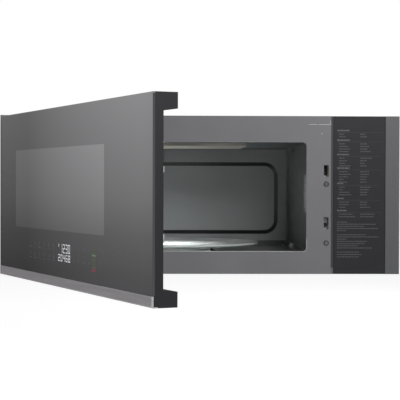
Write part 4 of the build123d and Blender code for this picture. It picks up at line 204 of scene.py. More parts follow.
def zinc(name, colour, roughness=0.38, size=60.0):
    """Zinc-coated sheet with crystal flakes."""
    t = Tree(name, roughness, metallic=1.0)
    flake = t.add("ShaderNodeSeparateColor", {"Color": t.cells(size, output="Color")}).outputs[0]
    t.colour(t.mix(flake, shade(colour, 0.84), shade(colour, 1.1)))
    cloud = t.sum("ADD", flake, t.noise(90.0, 3.0))
    t.roughness(t.span(cloud, 0.3, 1.5, roughness - 0.08, roughness + 0.12))
    t.bump(t.noise(35.0, 3.0), 0.08, 0.002)
    return t


def brushed(name, colour, stretch, roughness=0.35, metallic=1.0, place=None, contrast=0.22):
    """Metal brushed along one direction: fine lines of colour, roughness and relief."""
    t = Tree(name, roughness, metallic=metallic)
    lines = t.noise(1.0, 5.0, t.stretched(stretch, place and place(t)), 0.7)
    tone = t.wave(lines)
    t.colour(t.mix(tone, shade(colour, 1 - contrast), shade(colour, 1 + contrast)))
    t.roughness(t.wave(lines, roughness - 0.07, roughness + 0.1))
    t.bump(lines, 0.12, 0.0001)
    return t


def door_place(t):
    """Coordinates of the door when it is shut."""
    inputs = {"Vector": t.place, "Center": HINGE_AT, "Angle": DOOR_OPEN}
    return t.add("ShaderNodeVectorRotate", inputs, rotation_type="Z_AXIS").outputs[0]


def window_mask(t, place):
    """1 in the door's viewing field, else 0."""
    parts = t.add("ShaderNodeSeparateXYZ", {0: place}).outputs
    middle, reach = (FIELD_LOW + FIELD_HIGH) / 2, (FIELD_HIGH - FIELD_LOW) / 2
    across = t.near(parts[0], middle.x, reach.x)
    upright = t.near(parts[2], middle.z, reach.z)
    return t.sum("MULTIPLY", across, upright)


def dots(t, place, pitch, size):
    """1 on a grid of round dots in the door's plane, else 0."""
    parts = t.add("ShaderNodeSeparateXYZ", {0: place}).outputs
    waves = [t.sum("COSINE", t.sum("MULTIPLY", parts[i], 2 * math.pi / pitch)) for i in (0, 2)]
    return t.sum("GREATER_THAN", t.sum("ADD", waves[0], waves[1]), size)


def tinted_glass():
    """Dark outer glass of the door, with fine dots over its viewing field."""
    t = Tree("door_glass", 0.05, specular=0.5, Coat_Roughness=0.02)
    place = door_place(t)
    field = window_mask(t, place)
    speckle = dots(t, place, 0.0022, 0.6)
    base = t.mix(t.wave(t.noise(6.0, 2.0)), (0.026, 0.026, 0.029), (0.03, 0.03, 0.033))
    seen = t.mix(speckle, (0.042, 0.044, 0.046), (0.03, 0.032, 0.034))
    t.colour(t.mix(field, base, seen))
    t.feed(t.shader.inputs["Coat Weight"], t.span(field, 0.0, 1.0, 0.2, 0.75))
    t.roughness(t.wave(t.noise(24.0, 4.0), 0.035, 0.075))
    return t


def cavity_enamel():
    """Speckled grey enamel, with painted shade in near black on the sloped border of the pressed field.
    """
    t = Tree("cavity_enamel", 0.3, specular=0.5, Coat_Weight=0.2, Coat_Roughness=0.2)
    speckle = t.sum("LESS_THAN", t.cells(1500.0), 0.22)
    slow = t.wave(t.noise(5.0, 2.0))
    base = t.mix(slow, (0.134, 0.142, 0.143), (0.146, 0.153, 0.154))
    enamel = t.mix(speckle, base, (0.1, 0.105, 0.105))
    depth = t.add("ShaderNodeSeparateXYZ", {0: t.place}).outputs[1]
    # Painted shade: the slope of the field's border is coloured near black in place of the shade in its
    # groove
    painted_shade_mask = t.near(depth, FIELD_SLOPE_Y, FIELD_SLOPE_REACH)
    t.colour(t.mix(painted_shade_mask, enamel, (0.012, 0.012, 0.013)))
    t.roughness(t.wave(t.noise(60.0, 3.0), 0.3, 0.4))
    t.bump(t.noise(420.0, 2.0), 0.1, 0.0003)
    return t


def clear(name, colour, roughness=0.04, frost=0.0, through=1.0):
    """Glass that light passes through."""
    t = Tree(name, roughness, specular=0.5, Transmission_Weight=through, IOR=1.5)
    t.colour(t.mix(t.wave(t.noise(20.0, 2.0)), shade(colour, 0.96), colour))
    t.roughness(t.wave(t.noise(150.0, 3.0), roughness + frost, roughness + frost * 1.4 + 0.02))
    if frost:
        t.bump(t.noise(800.0, 2.0), 0.3, 0.0003)
    return t


def laminate():
    """Circuit board: solder mask over tracks, with pads."""
    t = Tree("board_laminate", 0.4, specular=0.5)
    tracks = t.sum("LESS_THAN", t.cells(160.0, feature="DISTANCE_TO_EDGE"), 0.05)
    pads = t.sum("LESS_THAN", t.cells(240.0), 0.16)
    green = t.mix(tracks, (0.02, 0.09, 0.045), (0.035, 0.16, 0.075))
    t.colour(t.mix(pads, green, (0.55, 0.54, 0.5)))
    t.bump(t.sum("ADD", tracks, pads), 0.4, 0.0001)
    return t


def expanded_mesh():
    """Layers of expanded aluminium mesh."""
    t = Tree("filter_mesh", 0.35, metallic=1.0)
    layers = []
    for turn, pitch in ((45, 0.0042), (38, 0.005), (52, 0.0046)):
        inputs = {"Vector": t.place, "Angle": math.radians(turn)}
        turned = t.add("ShaderNodeVectorRotate", inputs, rotation_type="Z_AXIS")
        parts = t.add("ShaderNodeSeparateXYZ", {0: turned.outputs[0]}).outputs
        sines = [t.sum("SINE", t.sum("MULTIPLY", parts[i], math.pi / pitch)) for i in (0, 1)]
        waves = [t.sum("ABSOLUTE", sine) for sine in sines]
        layers.append(t.sum("MINIMUM", waves[0], waves[1]))
    strands = t.sum("MULTIPLY", layers[0], t.sum("MULTIPLY", layers[1], layers[2]))
    t.colour(t.mix(t.span(strands, 0.0, 0.25, 0.0, 1.0), (0.75, 0.75, 0.76), (0.12, 0.12, 0.125)))
    t.bump(t.span(strands, 0.0, 0.3, 1.0, 0.0), 0.9, 0.001)
    return t


def perforated(name, colour, hole, pitch):
    """Painted sheet of the door, with rows of holes too fine to model."""
    t = Tree(name, 0.45, specular=0.4)
    holes = dots(t, door_place(t), pitch, 0.35)
    tone = t.mix(t.wave(t.noise(30.0, 3.0)), shade(colour, 0.92), shade(colour, 1.08))
    t.colour(t.mix(holes, tone, hole))
    t.bump(holes, 0.5, 0.0004)
    return t


def glowing(name, colour, strength):
    """Printed or lit mark whose tone wavers a little."""
    t = Tree(name, 0.4, specular=0.3, Emission_Strength=strength)
    tone = t.mix(t.noise(700.0, 2.0), shade(colour, 0.86), colour)
    t.colour(tone)
    t.feed(t.shader.inputs["Emission Color"], tone)
    return t


def finishes():
    """Material of each slot that the record names."""
    ALONG_DOOR = (9.0, 60.0, 1500.0)
    UPRIGHT = (1800.0, 1800.0, 14.0)
    ROUND = (400.0, 400.0, 900.0)
    made = [
        zinc("zinc_sheet", (0.56, 0.57, 0.58)),
        painted("case_paint", (0.035, 0.035, 0.037), 0.5),
        painted("underside_paint", (0.09, 0.09, 0.094), 0.5),
        painted("front_paint", (0.135, 0.134, 0.142), 0.42, 0.1),
        moulded("dark_moulding", (0.011, 0.011, 0.012), 0.5),
        painted("guide_film", (0.016, 0.016, 0.018), 0.4, 0.08, 0.15),
        brushed("trim_strip", (0.05, 0.05, 0.054), UPRIGHT, 0.45, 0.15),
        cavity_enamel(),
        perforated("screen_sheet", (0.18, 0.18, 0.19), hole=(0.012, 0.012, 0.012), pitch=0.0026),
        moulded("cover_moulding", (0.42, 0.4, 0.36), 0.55),
        moulded("lamp_moulding", (0.6, 0.6, 0.57), 0.4),
        brushed("motor_can", (0.5, 0.5, 0.5), ROUND, 0.35),
        brushed("shaft_steel", (0.55, 0.55, 0.55), ROUND, 0.25),
        moulded("white_moulding", (0.66, 0.66, 0.63), 0.4),
        clear("tray_glass", (0.92, 0.97, 0.95), 0.06, through=0.6),
        brushed("core_steel", (0.07, 0.06, 0.055), (300.0, 2600.0, 300.0), 0.45, 0.7),
        brushed("aluminium_can", (0.66, 0.66, 0.67), ROUND, 0.3),
        laminate(),
        moulded("fan_moulding", (0.05, 0.05, 0.052), 0.45),
        moulded("switch_moulding", (0.014, 0.014, 0.014), 0.45),
        moulded("plunger_moulding", (0.05, 0.02, 0.02), 0.4),
        expanded_mesh(),
        clear("lens_glass", (0.9, 0.9, 0.88), 0.2, 0.2),
        moulded("bushing_rubber", (0.01, 0.01, 0.01), 0.7),
        brushed("screw_steel", (0.2, 0.2, 0.205), ROUND, 0.35),
        zinc("hinge_steel", (0.45, 0.45, 0.46), 0.35, 140.0),
        moulded("door_moulding", (0.013, 0.013, 0.015), 0.45, specular=0.16),
        tinted_glass(),
        brushed("brushed_strip", (0.34, 0.33, 0.335), ALONG_DOOR, 0.36, place=door_place, contrast=0.18),
        painted("choke_paint", (0.012, 0.012, 0.013), 0.4),
        moulded("cover_black", (0.01, 0.01, 0.01), 0.3),
        clear("inner_glass", (0.5, 0.52, 0.52)),
        moulded("display_lens", (0.01, 0.01, 0.01), 0.2),
        moulded("latch_moulding", (0.62, 0.62, 0.6), 0.4),
        brushed("spring_steel", (0.5, 0.5, 0.5), ROUND, 0.3),
        glowing("legend_print", (0.058, 0.058, 0.062), 0.0),
        glowing("head_print", (0.095, 0.095, 0.1), 0.0),
        glowing("pale_fleck", (0.62, 0.63, 0.63), 0.0),
        glowing("lamp_glow", (0.8, 0.84, 0.81), 0.5),
        brushed("polished_end", (0.8, 0.8, 0.8), (900.0, 900.0, 60.0), 0.2, 1.0),
        painted("bead_enamel", (0.42, 0.43, 0.43), 0.25, 0.05, 0.6),
        moulded("clip_painted_sheen", (0.8, 0.82, 0.81), 0.35),
        painted("screw_face", (0.16, 0.16, 0.165), 0.4),
        moulded("screw_gap_shade", (0.012, 0.012, 0.012), 0.35),
        glowing("key_print", (0.16, 0.16, 0.17), 0.0),
        glowing("display_light", (0.85, 0.87, 0.9), 0.45),
        glowing("green_light", (0.07, 0.11, 0.035), 0.1),
        glowing("pale_light", (0.2, 0.32, 0.2), 0.2),
        glowing("red_light", (0.28, 0.012, 0.03), 0.2),
    ]
    return {t.name: t.material for t in made}


FINISH = finishes()
for node in frame["nodes"].values():
    for i, material in enumerate(node.data.materials):
        node.data.materials[i] = FINISH[material.name.split(".")[0]]


def piece(name, bm, body, slot, finish=None, at=None, smooth=False):
    """A mesh object of its own, in place, riding on a body."""
    bmesh.ops.recalc_face_normals(bm, faces=bm.faces[:])
    mesh = bpy.data.meshes.new(name)
    bm.to_mesh(mesh)
    bm.free()
    if at is not None:
        mesh.transform(at)
    mesh.materials.append(FINISH[finish or slot])
    if smooth:
        mesh.shade_smooth()
    thing = bpy.data.objects.new(name, mesh)
    bpy.context.scene.collection.objects.link(thing)
    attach(thing, body)
    return thing


def add_block(bm, low, high):
    """A closed block between two corners, its corners as vertices of one mesh."""
    xs, ys, zs = zip(low, high)
    corners = [bm.verts.new((x, y, z)) for x in xs for y in ys for z in zs]
    for face in ((0, 1, 3, 2), (4, 6, 7, 5), (0, 4, 5, 1), (2, 3, 7, 6), (0, 2, 6, 4), (1, 5, 7, 3)):
        bm.faces.new([corners[i] for i in face])


def marks(name, boxes, front, body, slot, finish, at=None):
    """Printed marks: thin plates on a surface that faces the front, from (x0, z0, x1, z1)."""
    PROUD = 0.00004
    DEEP = 0.00006
    bm = bmesh.new()
    for x0, z0, x1, z1 in boxes:
        add_block(bm, (x0, front - PROUD, z0), (x1, front + DEEP, z1))
    return piece(name, bm, body, slot, finish, at)


# Printed chart on the guide panel: rows of plain bars, with no words. A block of the chart is
# (z of its head, length of its head, lengths of each row's two entries)
CHART_LEFT = 0.2605
CHART_SECOND = 0.3035
CHART_RIGHT = 0.3445
ROW_STEP = 0.0049
FIRST_ROW = 0.0065
ROW_INDENT = 0.0035
SECOND_INDENT = 0.001
HEAD_HIGH = 0.0026
LINE_HIGH = 0.0017
RULE_BELOW = (0.0022, 0.0019)
WORD_WIDE = (0.0022, 0.0065)
WORD_GAP = 0.0008
SHORTEST_WORD = 0.001
CHART = (
    (0.2725, 0.0245, ((0.0095, 0.0105), (0.0125, 0.012))),
    (0.2540, 0.0245, ((0.0125, 0.014), (0.017, 0.017), (0.021, 0.014), (0.018, 0.020))),
    (0.2268, 0.0225, ((0.012, 0.022), (0.015, 0.014), (0.012, 0.009), (0.0215, 0.012))),
    (0.2008, 0.0235, ((0.016, 0.017), (0.0235, 0.018), (0.017, 0.014), (0.009, 0.011), (0.017, 0.013))),
    (0.1716, 0.0115, ((0.011, 0.022), (0.009, 0.017), (0.020, 0.014), (0.024, 0.013))),
    (0.1430, 0.0130, ((0.020, 0.014), (0.019, 0.014), (0.012, 0.020))),
    (0.1200, 0.0185, ((0.027, 0.028), (0.031, 0.026))),
)

# Lines of print below the chart, as (z, length)
LINES = (
    (0.0985, 0.020), (0.0944, 0.074), (0.0903, 0.051), (0.0862, 0.078), (0.0821, 0.017),
    (0.0742, 0.055), (0.0701, 0.080), (0.0658, 0.020), (0.0616, 0.058), (0.0572, 0.053),
    (0.0532, 0.040), (0.0490, 0.067), (0.0412, 0.042), (0.0366, 0.048), (0.0320, 0.042),
)


def words(rng, left, length, bottom, height):
    """A row of bars with small gaps, which stands for a line of print."""
    bars, x = [], left
    while x < left + length - SHORTEST_WORD:
        wide = min(rng.uniform(*WORD_WIDE), left + length - x)
        bars.append((x, bottom, x + wide, bottom + height))
        x += wide + WORD_GAP
    return bars


def guide_chart():
    """Print on the guide panel."""
    rng = random.Random(4)
    heads, rows, rules = [], [], []
    for top, head, entries in CHART:
        heads += words(rng, CHART_LEFT, head, top, HEAD_HIGH)
        rules.append((CHART_LEFT, top - RULE_BELOW[0], CHART_RIGHT, top - RULE_BELOW[1]))
        for i, (first, second) in enumerate(entries):
            bottom = top - FIRST_ROW - i * ROW_STEP
            rows += words(rng, CHART_LEFT + ROW_INDENT, first, bottom, LINE_HIGH)
            rows += words(rng, CHART_SECOND + SECOND_INDENT, second, bottom, LINE_HIGH)
    for bottom, length in LINES:
        rows += words(rng, CHART_LEFT, length, bottom, LINE_HIGH)
    marks("chart_heads", heads, GUIDE_FRONT, "housing", "guide_film", "head_print")
    marks("chart_rows", rows, GUIDE_FRONT, "housing", "guide_film", "legend_print")
    marks("chart_rules", rules, GUIDE_FRONT, "housing", "guide_film", "legend_print")


guide_chart()

# Lit bars of each seven-segment digit
SEGMENTS = {
    "0": "abcdef", "1": "bc", "2": "abged", "3": "abgcd", "4": "fgbc",
    "5": "afgcd", "6": "afgedc", "7": "abc", "8": "abcdefg", "9": "abcdfg",
}


def digit(char, x, z, wide, high, stroke):
    """Bars of one seven-segment digit whose lower left corner is at x, z."""
    half = high / 2
    bars = {
        "a": (x, z + high - stroke, x + wide, z + high),
        "d": (x, z, x + wide, z + stroke),
        "g": (x, z + half - stroke / 2, x + wide, z + half + stroke / 2),
        "f": (x, z + half, x + stroke, z + high),
        "e": (x, z, x + stroke, z + half),
        "b": (x + wide - stroke, z + half, x + wide, z + high),
        "c": (x + wide - stroke, z, x + wide, z + half),
    }
    return [bars[segment] for segment in SEGMENTS[char]]


def on_glass(name, boxes, finish):
    """Marks on the outer glass, given from the door's left end."""
    left = GLASS_LOW.x
    moved = [(left + x0, z0, left + x1, z1) for x0, z0, x1, z1 in boxes]
    slot = "display_lens" if "light" in finish else "door_glass"
    return marks(name, moved, GLASS_LOW.y, "door", slot, finish, TO_DOOR)


def number_row(text, first, step, z, wide, high, stroke):
    """Bars of digits in a row, from the first digit's lower left corner."""
    boxes = []
    for i, char in enumerate(text):
        boxes += digit(char, first + i * step, z, wide, high, stroke)
    return boxes


# Marks on the door glass, placed from the door's left end: rows of keys as (digits, x of the first, z),
# a digit's (width, height, stroke), and rows of the display as (digits, x of the first, z, digit's size)
KEY_STEP = 0.0252
KEY_SIZE = (0.0042, 0.0062, 0.0008)
KEY_ROWS = (
    ("123456", 0.181, 0.0650),
    ("789012", 0.181, 0.0465),
    ("345", 0.531, 0.0655),
    ("678", 0.531, 0.0465),
)
KEY_LINE_X = (0.177, 0.190)
KEY_LINE_Z = ((0.0612, 0.0619), (0.0427, 0.0434))
TICK_STEP = 0.0235
TICK_X = (0.407, 0.4095)
TICK_Z = (0.0655, 0.0455)
TICK_HIGH = 0.005
DISPLAY_STEP = 0.0125
DISPLAY_ROWS = (
    ("1230", 0.3445, 0.0578, (0.0085, 0.0145, 0.0016)),
    ("20468", 0.3325, 0.0440, (0.0083, 0.0112, 0.0014)),
)
DISPLAY_MARK = (0.3345, 0.0672, 0.3365, 0.0722)
STATUS_STEP = 0.0053
STATUS_X = (0.4925, 0.5085)
STATUS_Z = (0.0415, 0.0445)
STATUS_INDENT = 0.0035
PALE_BAR = (0.4925, 0.0596, 0.5095, 0.0622)
RED_BAR = (0.4925, 0.0362, 0.5085, 0.0402)


def glass_marks():
    """Keys, ticks, display and status bars on the door glass."""
    keys = []
    for text, first, z in KEY_ROWS:
        keys += number_row(text, first, KEY_STEP, z, *KEY_SIZE)
    for i in range(6):
        left, right = [x + i * KEY_STEP for x in KEY_LINE_X]
        keys += [(left, low, right, high) for low, high in KEY_LINE_Z]
    for z in TICK_Z:
        for i in range(4):
            left, right = [x + i * TICK_STEP for x in TICK_X]
            keys.append((left, z, right, z + TICK_HIGH))
    on_glass("key_numbers", keys, "key_print")
    shown = []
    for text, first, z, size in DISPLAY_ROWS:
        shown += number_row(text, first, DISPLAY_STEP, z, *size)
    on_glass("display_numbers", shown + [DISPLAY_MARK], "display_light")
    bars = []
    for i in range(6):
        low, high = [z + i * STATUS_STEP for z in STATUS_Z]
        bars.append((STATUS_X[0] + STATUS_INDENT * (i % 2), low, STATUS_X[1], high))
    on_glass("status_bars", bars, "green_light")
    on_glass("status_bar_pale", [PALE_BAR], "pale_light")
    on_glass("status_bar_red", [RED_BAR], "red_light")


glass_marks()

# Latch screws, with profiles as (radius, depth behind the plate's front)
LATCH_SCREW_X = 0.24
LATCH_SCREW_Z = (0.1716, 0.0594)
RING_PROFILE = ((0.0029, 0.0), (0.0031, -0.0003), (0.0052, -0.0003), (0.0054, 0.0), (0.0054, 0.0004),
                (0.0029, 0.0004), (0.0029, 0.0))
RECESS_PROFILE = ((0.0, -0.0002), (0.0012, -0.0002), (0.0012, 0.0004), (0.0, 0.0004))
HEAD_PROFILE = ((0.0, 0.0004), (0.0012, 0.0003), (0.0013, -0.0005), (0.0024, -0.0004), (0.0029, 0.0),
                (0.0029, 0.0006), (0.0, 0.0006))

# Pale marks on the plate: a dot, and painted highlights on two stretches of the pressed line's edge and
# on its upright end
PALE_DOT_AND_HIGHLIGHTS = (
    (0.2304, 0.2669, 0.232, 0.2685),
    (0.2066, 0.2848, 0.2222, 0.2855),
    (0.2245, 0.2848, 0.2462, 0.2855),
    (0.2474, 0.2838, 0.248, 0.2925),
)

# Latch slots, lined with a dark sheet as painted shade
SLEEVE_X = (0.2353, 0.2442)
SLEEVE_DEPTH = (0.0003, 0.0065)
SLEEVE_Z = ((0.0855, 0.1082), (0.1849, 0.2076))
SLEEVE_WALL = 0.00025

# Painted highlight on the oven opening's edge: a pale rounded bead along the sill, round the corner and
# up the side
BEAD_R = 0.0006
BEAD_SIDES = 8
BEAD_IN = 0.0003
BEAD_STEP = 0.0508
BEAD_STEPS = 11
BEAD_CORNER_STEPS = 8
BEAD_RISES = (0.016, 0.03)
BEAD_TIP = 0.3

# Lamp screen: its holes, and the lit pegs that fill them
SCREEN_ROWS = 18
SCREEN_COLUMNS = 11
HOLE_SIDES = 12
HOLE_R = 0.0011
GLOW_R = 0.00112
GLOW_IN = 0.00005
WELD = 0.00005

# Clips and rivets in the cavity, as (x, y, z, radius), and their profile as (share of radius, depth)
UPPER_CLIPS = ((0.1955, -0.2, 0.2405, 0.0062),)
LOWER_CLIPS = (
    (0.1955, -0.2, 0.0435, 0.0066),
    (0.1985, -0.254, 0.063, 0.0014),
    (0.1835, -0.12, 0.0405, 0.0012),
)
CLIP_PROFILE = ((0.25, 0.0012), (0.35, -0.0006), (0.8, 0.0002), (1.0, 0.0014), (1.0, 0.003))
CLIP_POINTS = 36
CLIP_LOBES = 6
CLIP_WAIST = 0.8
CLIP_BULGE = 0.2

# Polished end and lower edge of the door's strip
STRIP_END_WIDE = 0.0045
STRIP_END_IN = 0.0003
STRIP_END_FOOT = 0.0003
STRIP_END_TOP = 0.0004
STRIP_EDGE = (0.0009, 0.0016)
STRIP_PROUD = 0.00015
STRIP_THICK = 0.0004


def circle(count, first=0.0):
    """Angles of evenly spaced points round a circle."""
    return [2 * math.pi * (i + first) / count for i in range(count)]


def join_rings(bm, rings):
    """Faces between rings of vertices; a ring may also be one point."""
    for a, b in zip(rings, rings[1:]):
        sides = max(len(a), len(b))
        for i in range(sides):
            j = (i + 1) % sides
            corners = [a[i % len(a)], a[j % len(a)], b[j % len(b)], b[i % len(b)]]
            bm.faces.new(list(dict.fromkeys(corners)))


def lathe(bm, profile, x, z):
    """A form turned about a line along Y through x, z, from (radius, depth) behind the plate's front."""
    SIDES = 28
    rings = []
    for radius, depth in profile:
        y = PLATE_FRONT + depth
        turns = circle(SIDES) if radius else [0.0]
        ring = [(x + radius * math.cos(a), y, z + radius * math.sin(a)) for a in turns]
        rings.append([bm.verts.new(spot) for spot in ring])
    join_rings(bm, rings)


def plate_details():
    """Small things on the front plate: screws in rings of painted shade, a pale dot and painted
    highlights on the pressed line's edge.
    """
    rings, heads = bmesh.new(), bmesh.new()
    for z in LATCH_SCREW_Z:
        lathe(rings, RING_PROFILE, LATCH_SCREW_X, z)
        lathe(rings, RECESS_PROFILE, LATCH_SCREW_X, z)
        lathe(heads, HEAD_PROFILE, LATCH_SCREW_X, z)
    # Painted shade: the ring round each head is near black in place of the shadow in its gap
    piece("latch_screw_rings", rings, "housing", "screw_steel", "screw_gap_shade", smooth=True)
    piece("latch_screw_heads", heads, "housing", "screw_steel", "screw_face", smooth=True)
    # Painted highlights: the pressed line's edge and its end are drawn in a pale colour where light
    # catches them
    marks("plate_flecks", PALE_DOT_AND_HIGHLIGHTS, PLATE_FRONT, "housing", "front_paint", "pale_fleck")


def slot_shade_sleeves():
    """Dark sheet just inside the two latch slots, as painted shade in them."""
    bm = bmesh.new()
    x0, x1 = SLEEVE_X
    y0, y1 = [PLATE_FRONT + depth for depth in SLEEVE_DEPTH]
    wall = SLEEVE_WALL
    for z0, z1 in SLEEVE_Z:
        add_block(bm, (x0, y0, z0), (x0 + wall, y1, z1))
        add_block(bm, (x1 - wall, y0, z0), (x1, y1, z1))
        add_block(bm, (x0 + wall, y0, z0), (x1 - wall, y1, z0 + wall))
        add_block(bm, (x0 + wall, y0, z1 - wall), (x1 - wall, y1, z1))
    piece("slot_shade_sleeves", bm, "housing", "switch_moulding")


def opening_bead():
    """Rounded edge along the opening's sill and up its right corner, pale as a painted highlight."""
    path = [Vector((OPEN_LEFT + i * BEAD_STEP, 0.0, OPEN_SILL)) for i in range(BEAD_STEPS)]
    for i in range(BEAD_CORNER_STEPS + 1):
        turn = math.radians(i * 90 / BEAD_CORNER_STEPS)
        across, up = OPEN_ROUND * math.sin(turn), OPEN_ROUND * math.cos(turn)
        path.append(Vector((OPEN_RIGHT - OPEN_ROUND + across, 0.0, OPEN_SILL + OPEN_ROUND - up)))
    path += [Vector((OPEN_RIGHT, 0.0, OPEN_SILL + rise)) for rise in BEAD_RISES]
    bm = bmesh.new()
    rings = []
    for i, point in enumerate(path):
        along = (path[min(i + 1, len(path) - 1)] - path[max(i - 1, 0)]).normalized()
        out = along.cross(Vector((0.0, 1.0, 0.0)))
        radius = BEAD_R * (1.0 if i < len(path) - 1 else BEAD_TIP)
        middle = point + Vector((0.0, PLATE_FRONT + BEAD_IN, 0.0))
        spokes = [out * math.cos(a) + Vector((0.0, math.sin(a), 0.0)) for a in circle(BEAD_SIDES)]
        rings.append([bm.verts.new(middle + radius * spoke) for spoke in spokes])
    join_rings(bm, rings)
    bm.faces.new(rings[0])
    bm.faces.new(rings[-1])
    # Painted highlight: the bead is much paler than the plate's paint
    piece("opening_bead", bm, "housing", "front_paint", "bead_enamel", smooth=True)


def lamp_screen():
    """Side screen with rows of round holes over the lit duct."""
    low, high = SCREEN_LOW, SCREEN_HIGH
    pitch = Vector((0.0, (high.y - low.y) / SCREEN_COLUMNS, (high.z - low.z) / SCREEN_ROWS))
    cells = [(i + 0.5, j + 0.5) for i in range(SCREEN_COLUMNS) for j in range(SCREEN_ROWS)]
    holes = [Vector((0.0, low.y + i * pitch.y, low.z + j * pitch.z)) for i, j in cells]
    turns = circle(HOLE_SIDES, 0.5)
    bm = bmesh.new()
    for hole in holes:
        middle = Vector((low.x, hole.y, hole.z))
        inner, outer = [], []
        for turn in turns:
            across, up = math.cos(turn), math.sin(turn)
            far = max(abs(across), abs(up))
            edge = Vector((0.0, pitch.y / 2 * across / far, pitch.z / 2 * up / far))
            inner.append(bm.verts.new(middle + Vector((0.0, HOLE_R * across, HOLE_R * up))))
            outer.append(bm.verts.new(middle + edge))
        join_rings(bm, [outer, inner])
    bmesh.ops.remove_doubles(bm, verts=bm.verts[:], dist=WELD)
    grown = bmesh.ops.extrude_face_region(bm, geom=bm.faces[:], use_keep_orig=True)["geom"]
    moved = [v for v in grown if isinstance(v, bmesh.types.BMVert)]
    bmesh.ops.translate(bm, verts=moved, vec=(high.x - low.x, 0.0, 0.0))
    screen = piece("lamp_screen", bm, "housing", "cavity_enamel")
    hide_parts("vent_screen")
    bm = bmesh.new()
    for hole in holes:
        rings = []
        for x in (low.x + GLOW_IN, high.x):
            spots = [hole + Vector((x, GLOW_R * math.cos(a), GLOW_R * math.sin(a))) for a in turns]
            rings.append([bm.verts.new(spot) for spot in spots])
            bm.faces.new(rings[-1])
        join_rings(bm, rings)
    piece("lamp_glow", bm, "housing", "lamp_moulding", "lamp_glow")


def clips(name, places, finish):
    """Small lobed clips that face the front."""
    bm = bmesh.new()
    for x, y, z, size in places:
        rings = []
        for share, depth in CLIP_PROFILE:
            ring = []
            for turn in circle(CLIP_POINTS):
                radius = size * share * (CLIP_WAIST + CLIP_BULGE * math.cos(CLIP_LOBES * turn))
                spot = (x + radius * math.cos(turn), y + depth, z + radius * math.sin(turn))
                ring.append(bm.verts.new(spot))
            rings.append(ring)
        join_rings(bm, rings)
        bm.faces.new(rings[0])
        bm.faces.new(rings[-1])
    piece(name, bm, "housing", "cavity_enamel", finish)


def strip_end():
    """Polished end and lower edge of the strip along the door's bottom."""
    low, high = closed_box("door_trim_strip")
    front = low.y - STRIP_PROUD
    seam = high.x - STRIP_END_WIDE
    back = front + STRIP_THICK
    bm = bmesh.new()
    end = (high.x - STRIP_END_IN, back, high.z - STRIP_END_TOP)
    add_block(bm, (seam, front, low.z + STRIP_END_FOOT), end)
    add_block(bm, (low.x, front, low.z + STRIP_EDGE[0]), (seam, back, low.z + STRIP_EDGE[1]))
    piece("strip_edges", bm, "door", "brushed_strip", "polished_end", TO_DOOR)


def latch_coil():
    """The latch's spring, as a copy of its mesh riding on the door."""
    coil = bpy.data.objects.new("latch_coil", frame["nodes"]["latch_spring"].data.copy())
    bpy.context.scene.collection.objects.link(coil)
    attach(coil, "door")
    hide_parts("latch_spring")
    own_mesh(coil)


latch_coil()
plate_details()
slot_shade_sleeves()
opening_bead()
lamp_screen()
# Painted light: the lower clips and rivets are white as a painted sheen, the upper clip dark grey as
# painted shade
clips("wall_clips_lower", LOWER_CLIPS, "clip_painted_sheen")
clips("wall_clips_upper", UPPER_CLIPS, "screw_face")
strip_end()


# Lamps, as (name, place, aim, size, watts)
LAMPS = (
    ("key", (0.93, -2.75, 1.1), (0.02, -0.2, 0.12), (1.5, 0.55), 47.0),
    ("fill", (-2.3, -2.2, 1.3), (-0.1, -0.5, 0.15), (1.5, 1.5), 6.0),
    ("top", (0.2, -0.6, 2.6), (0.0, -0.3, 0.2), (1.8, 1.8), 18.0),
    ("back", (1.2, 2.4, 1.6), (0.0, 0.0, 0.15), (1.6, 1.6), 16.0),
)
TRAY_LAMP = ("tray_light", (-0.13, -0.27, 0.236), (-0.13, -0.27, 0.0), (0.26, 0.2), 2.0)


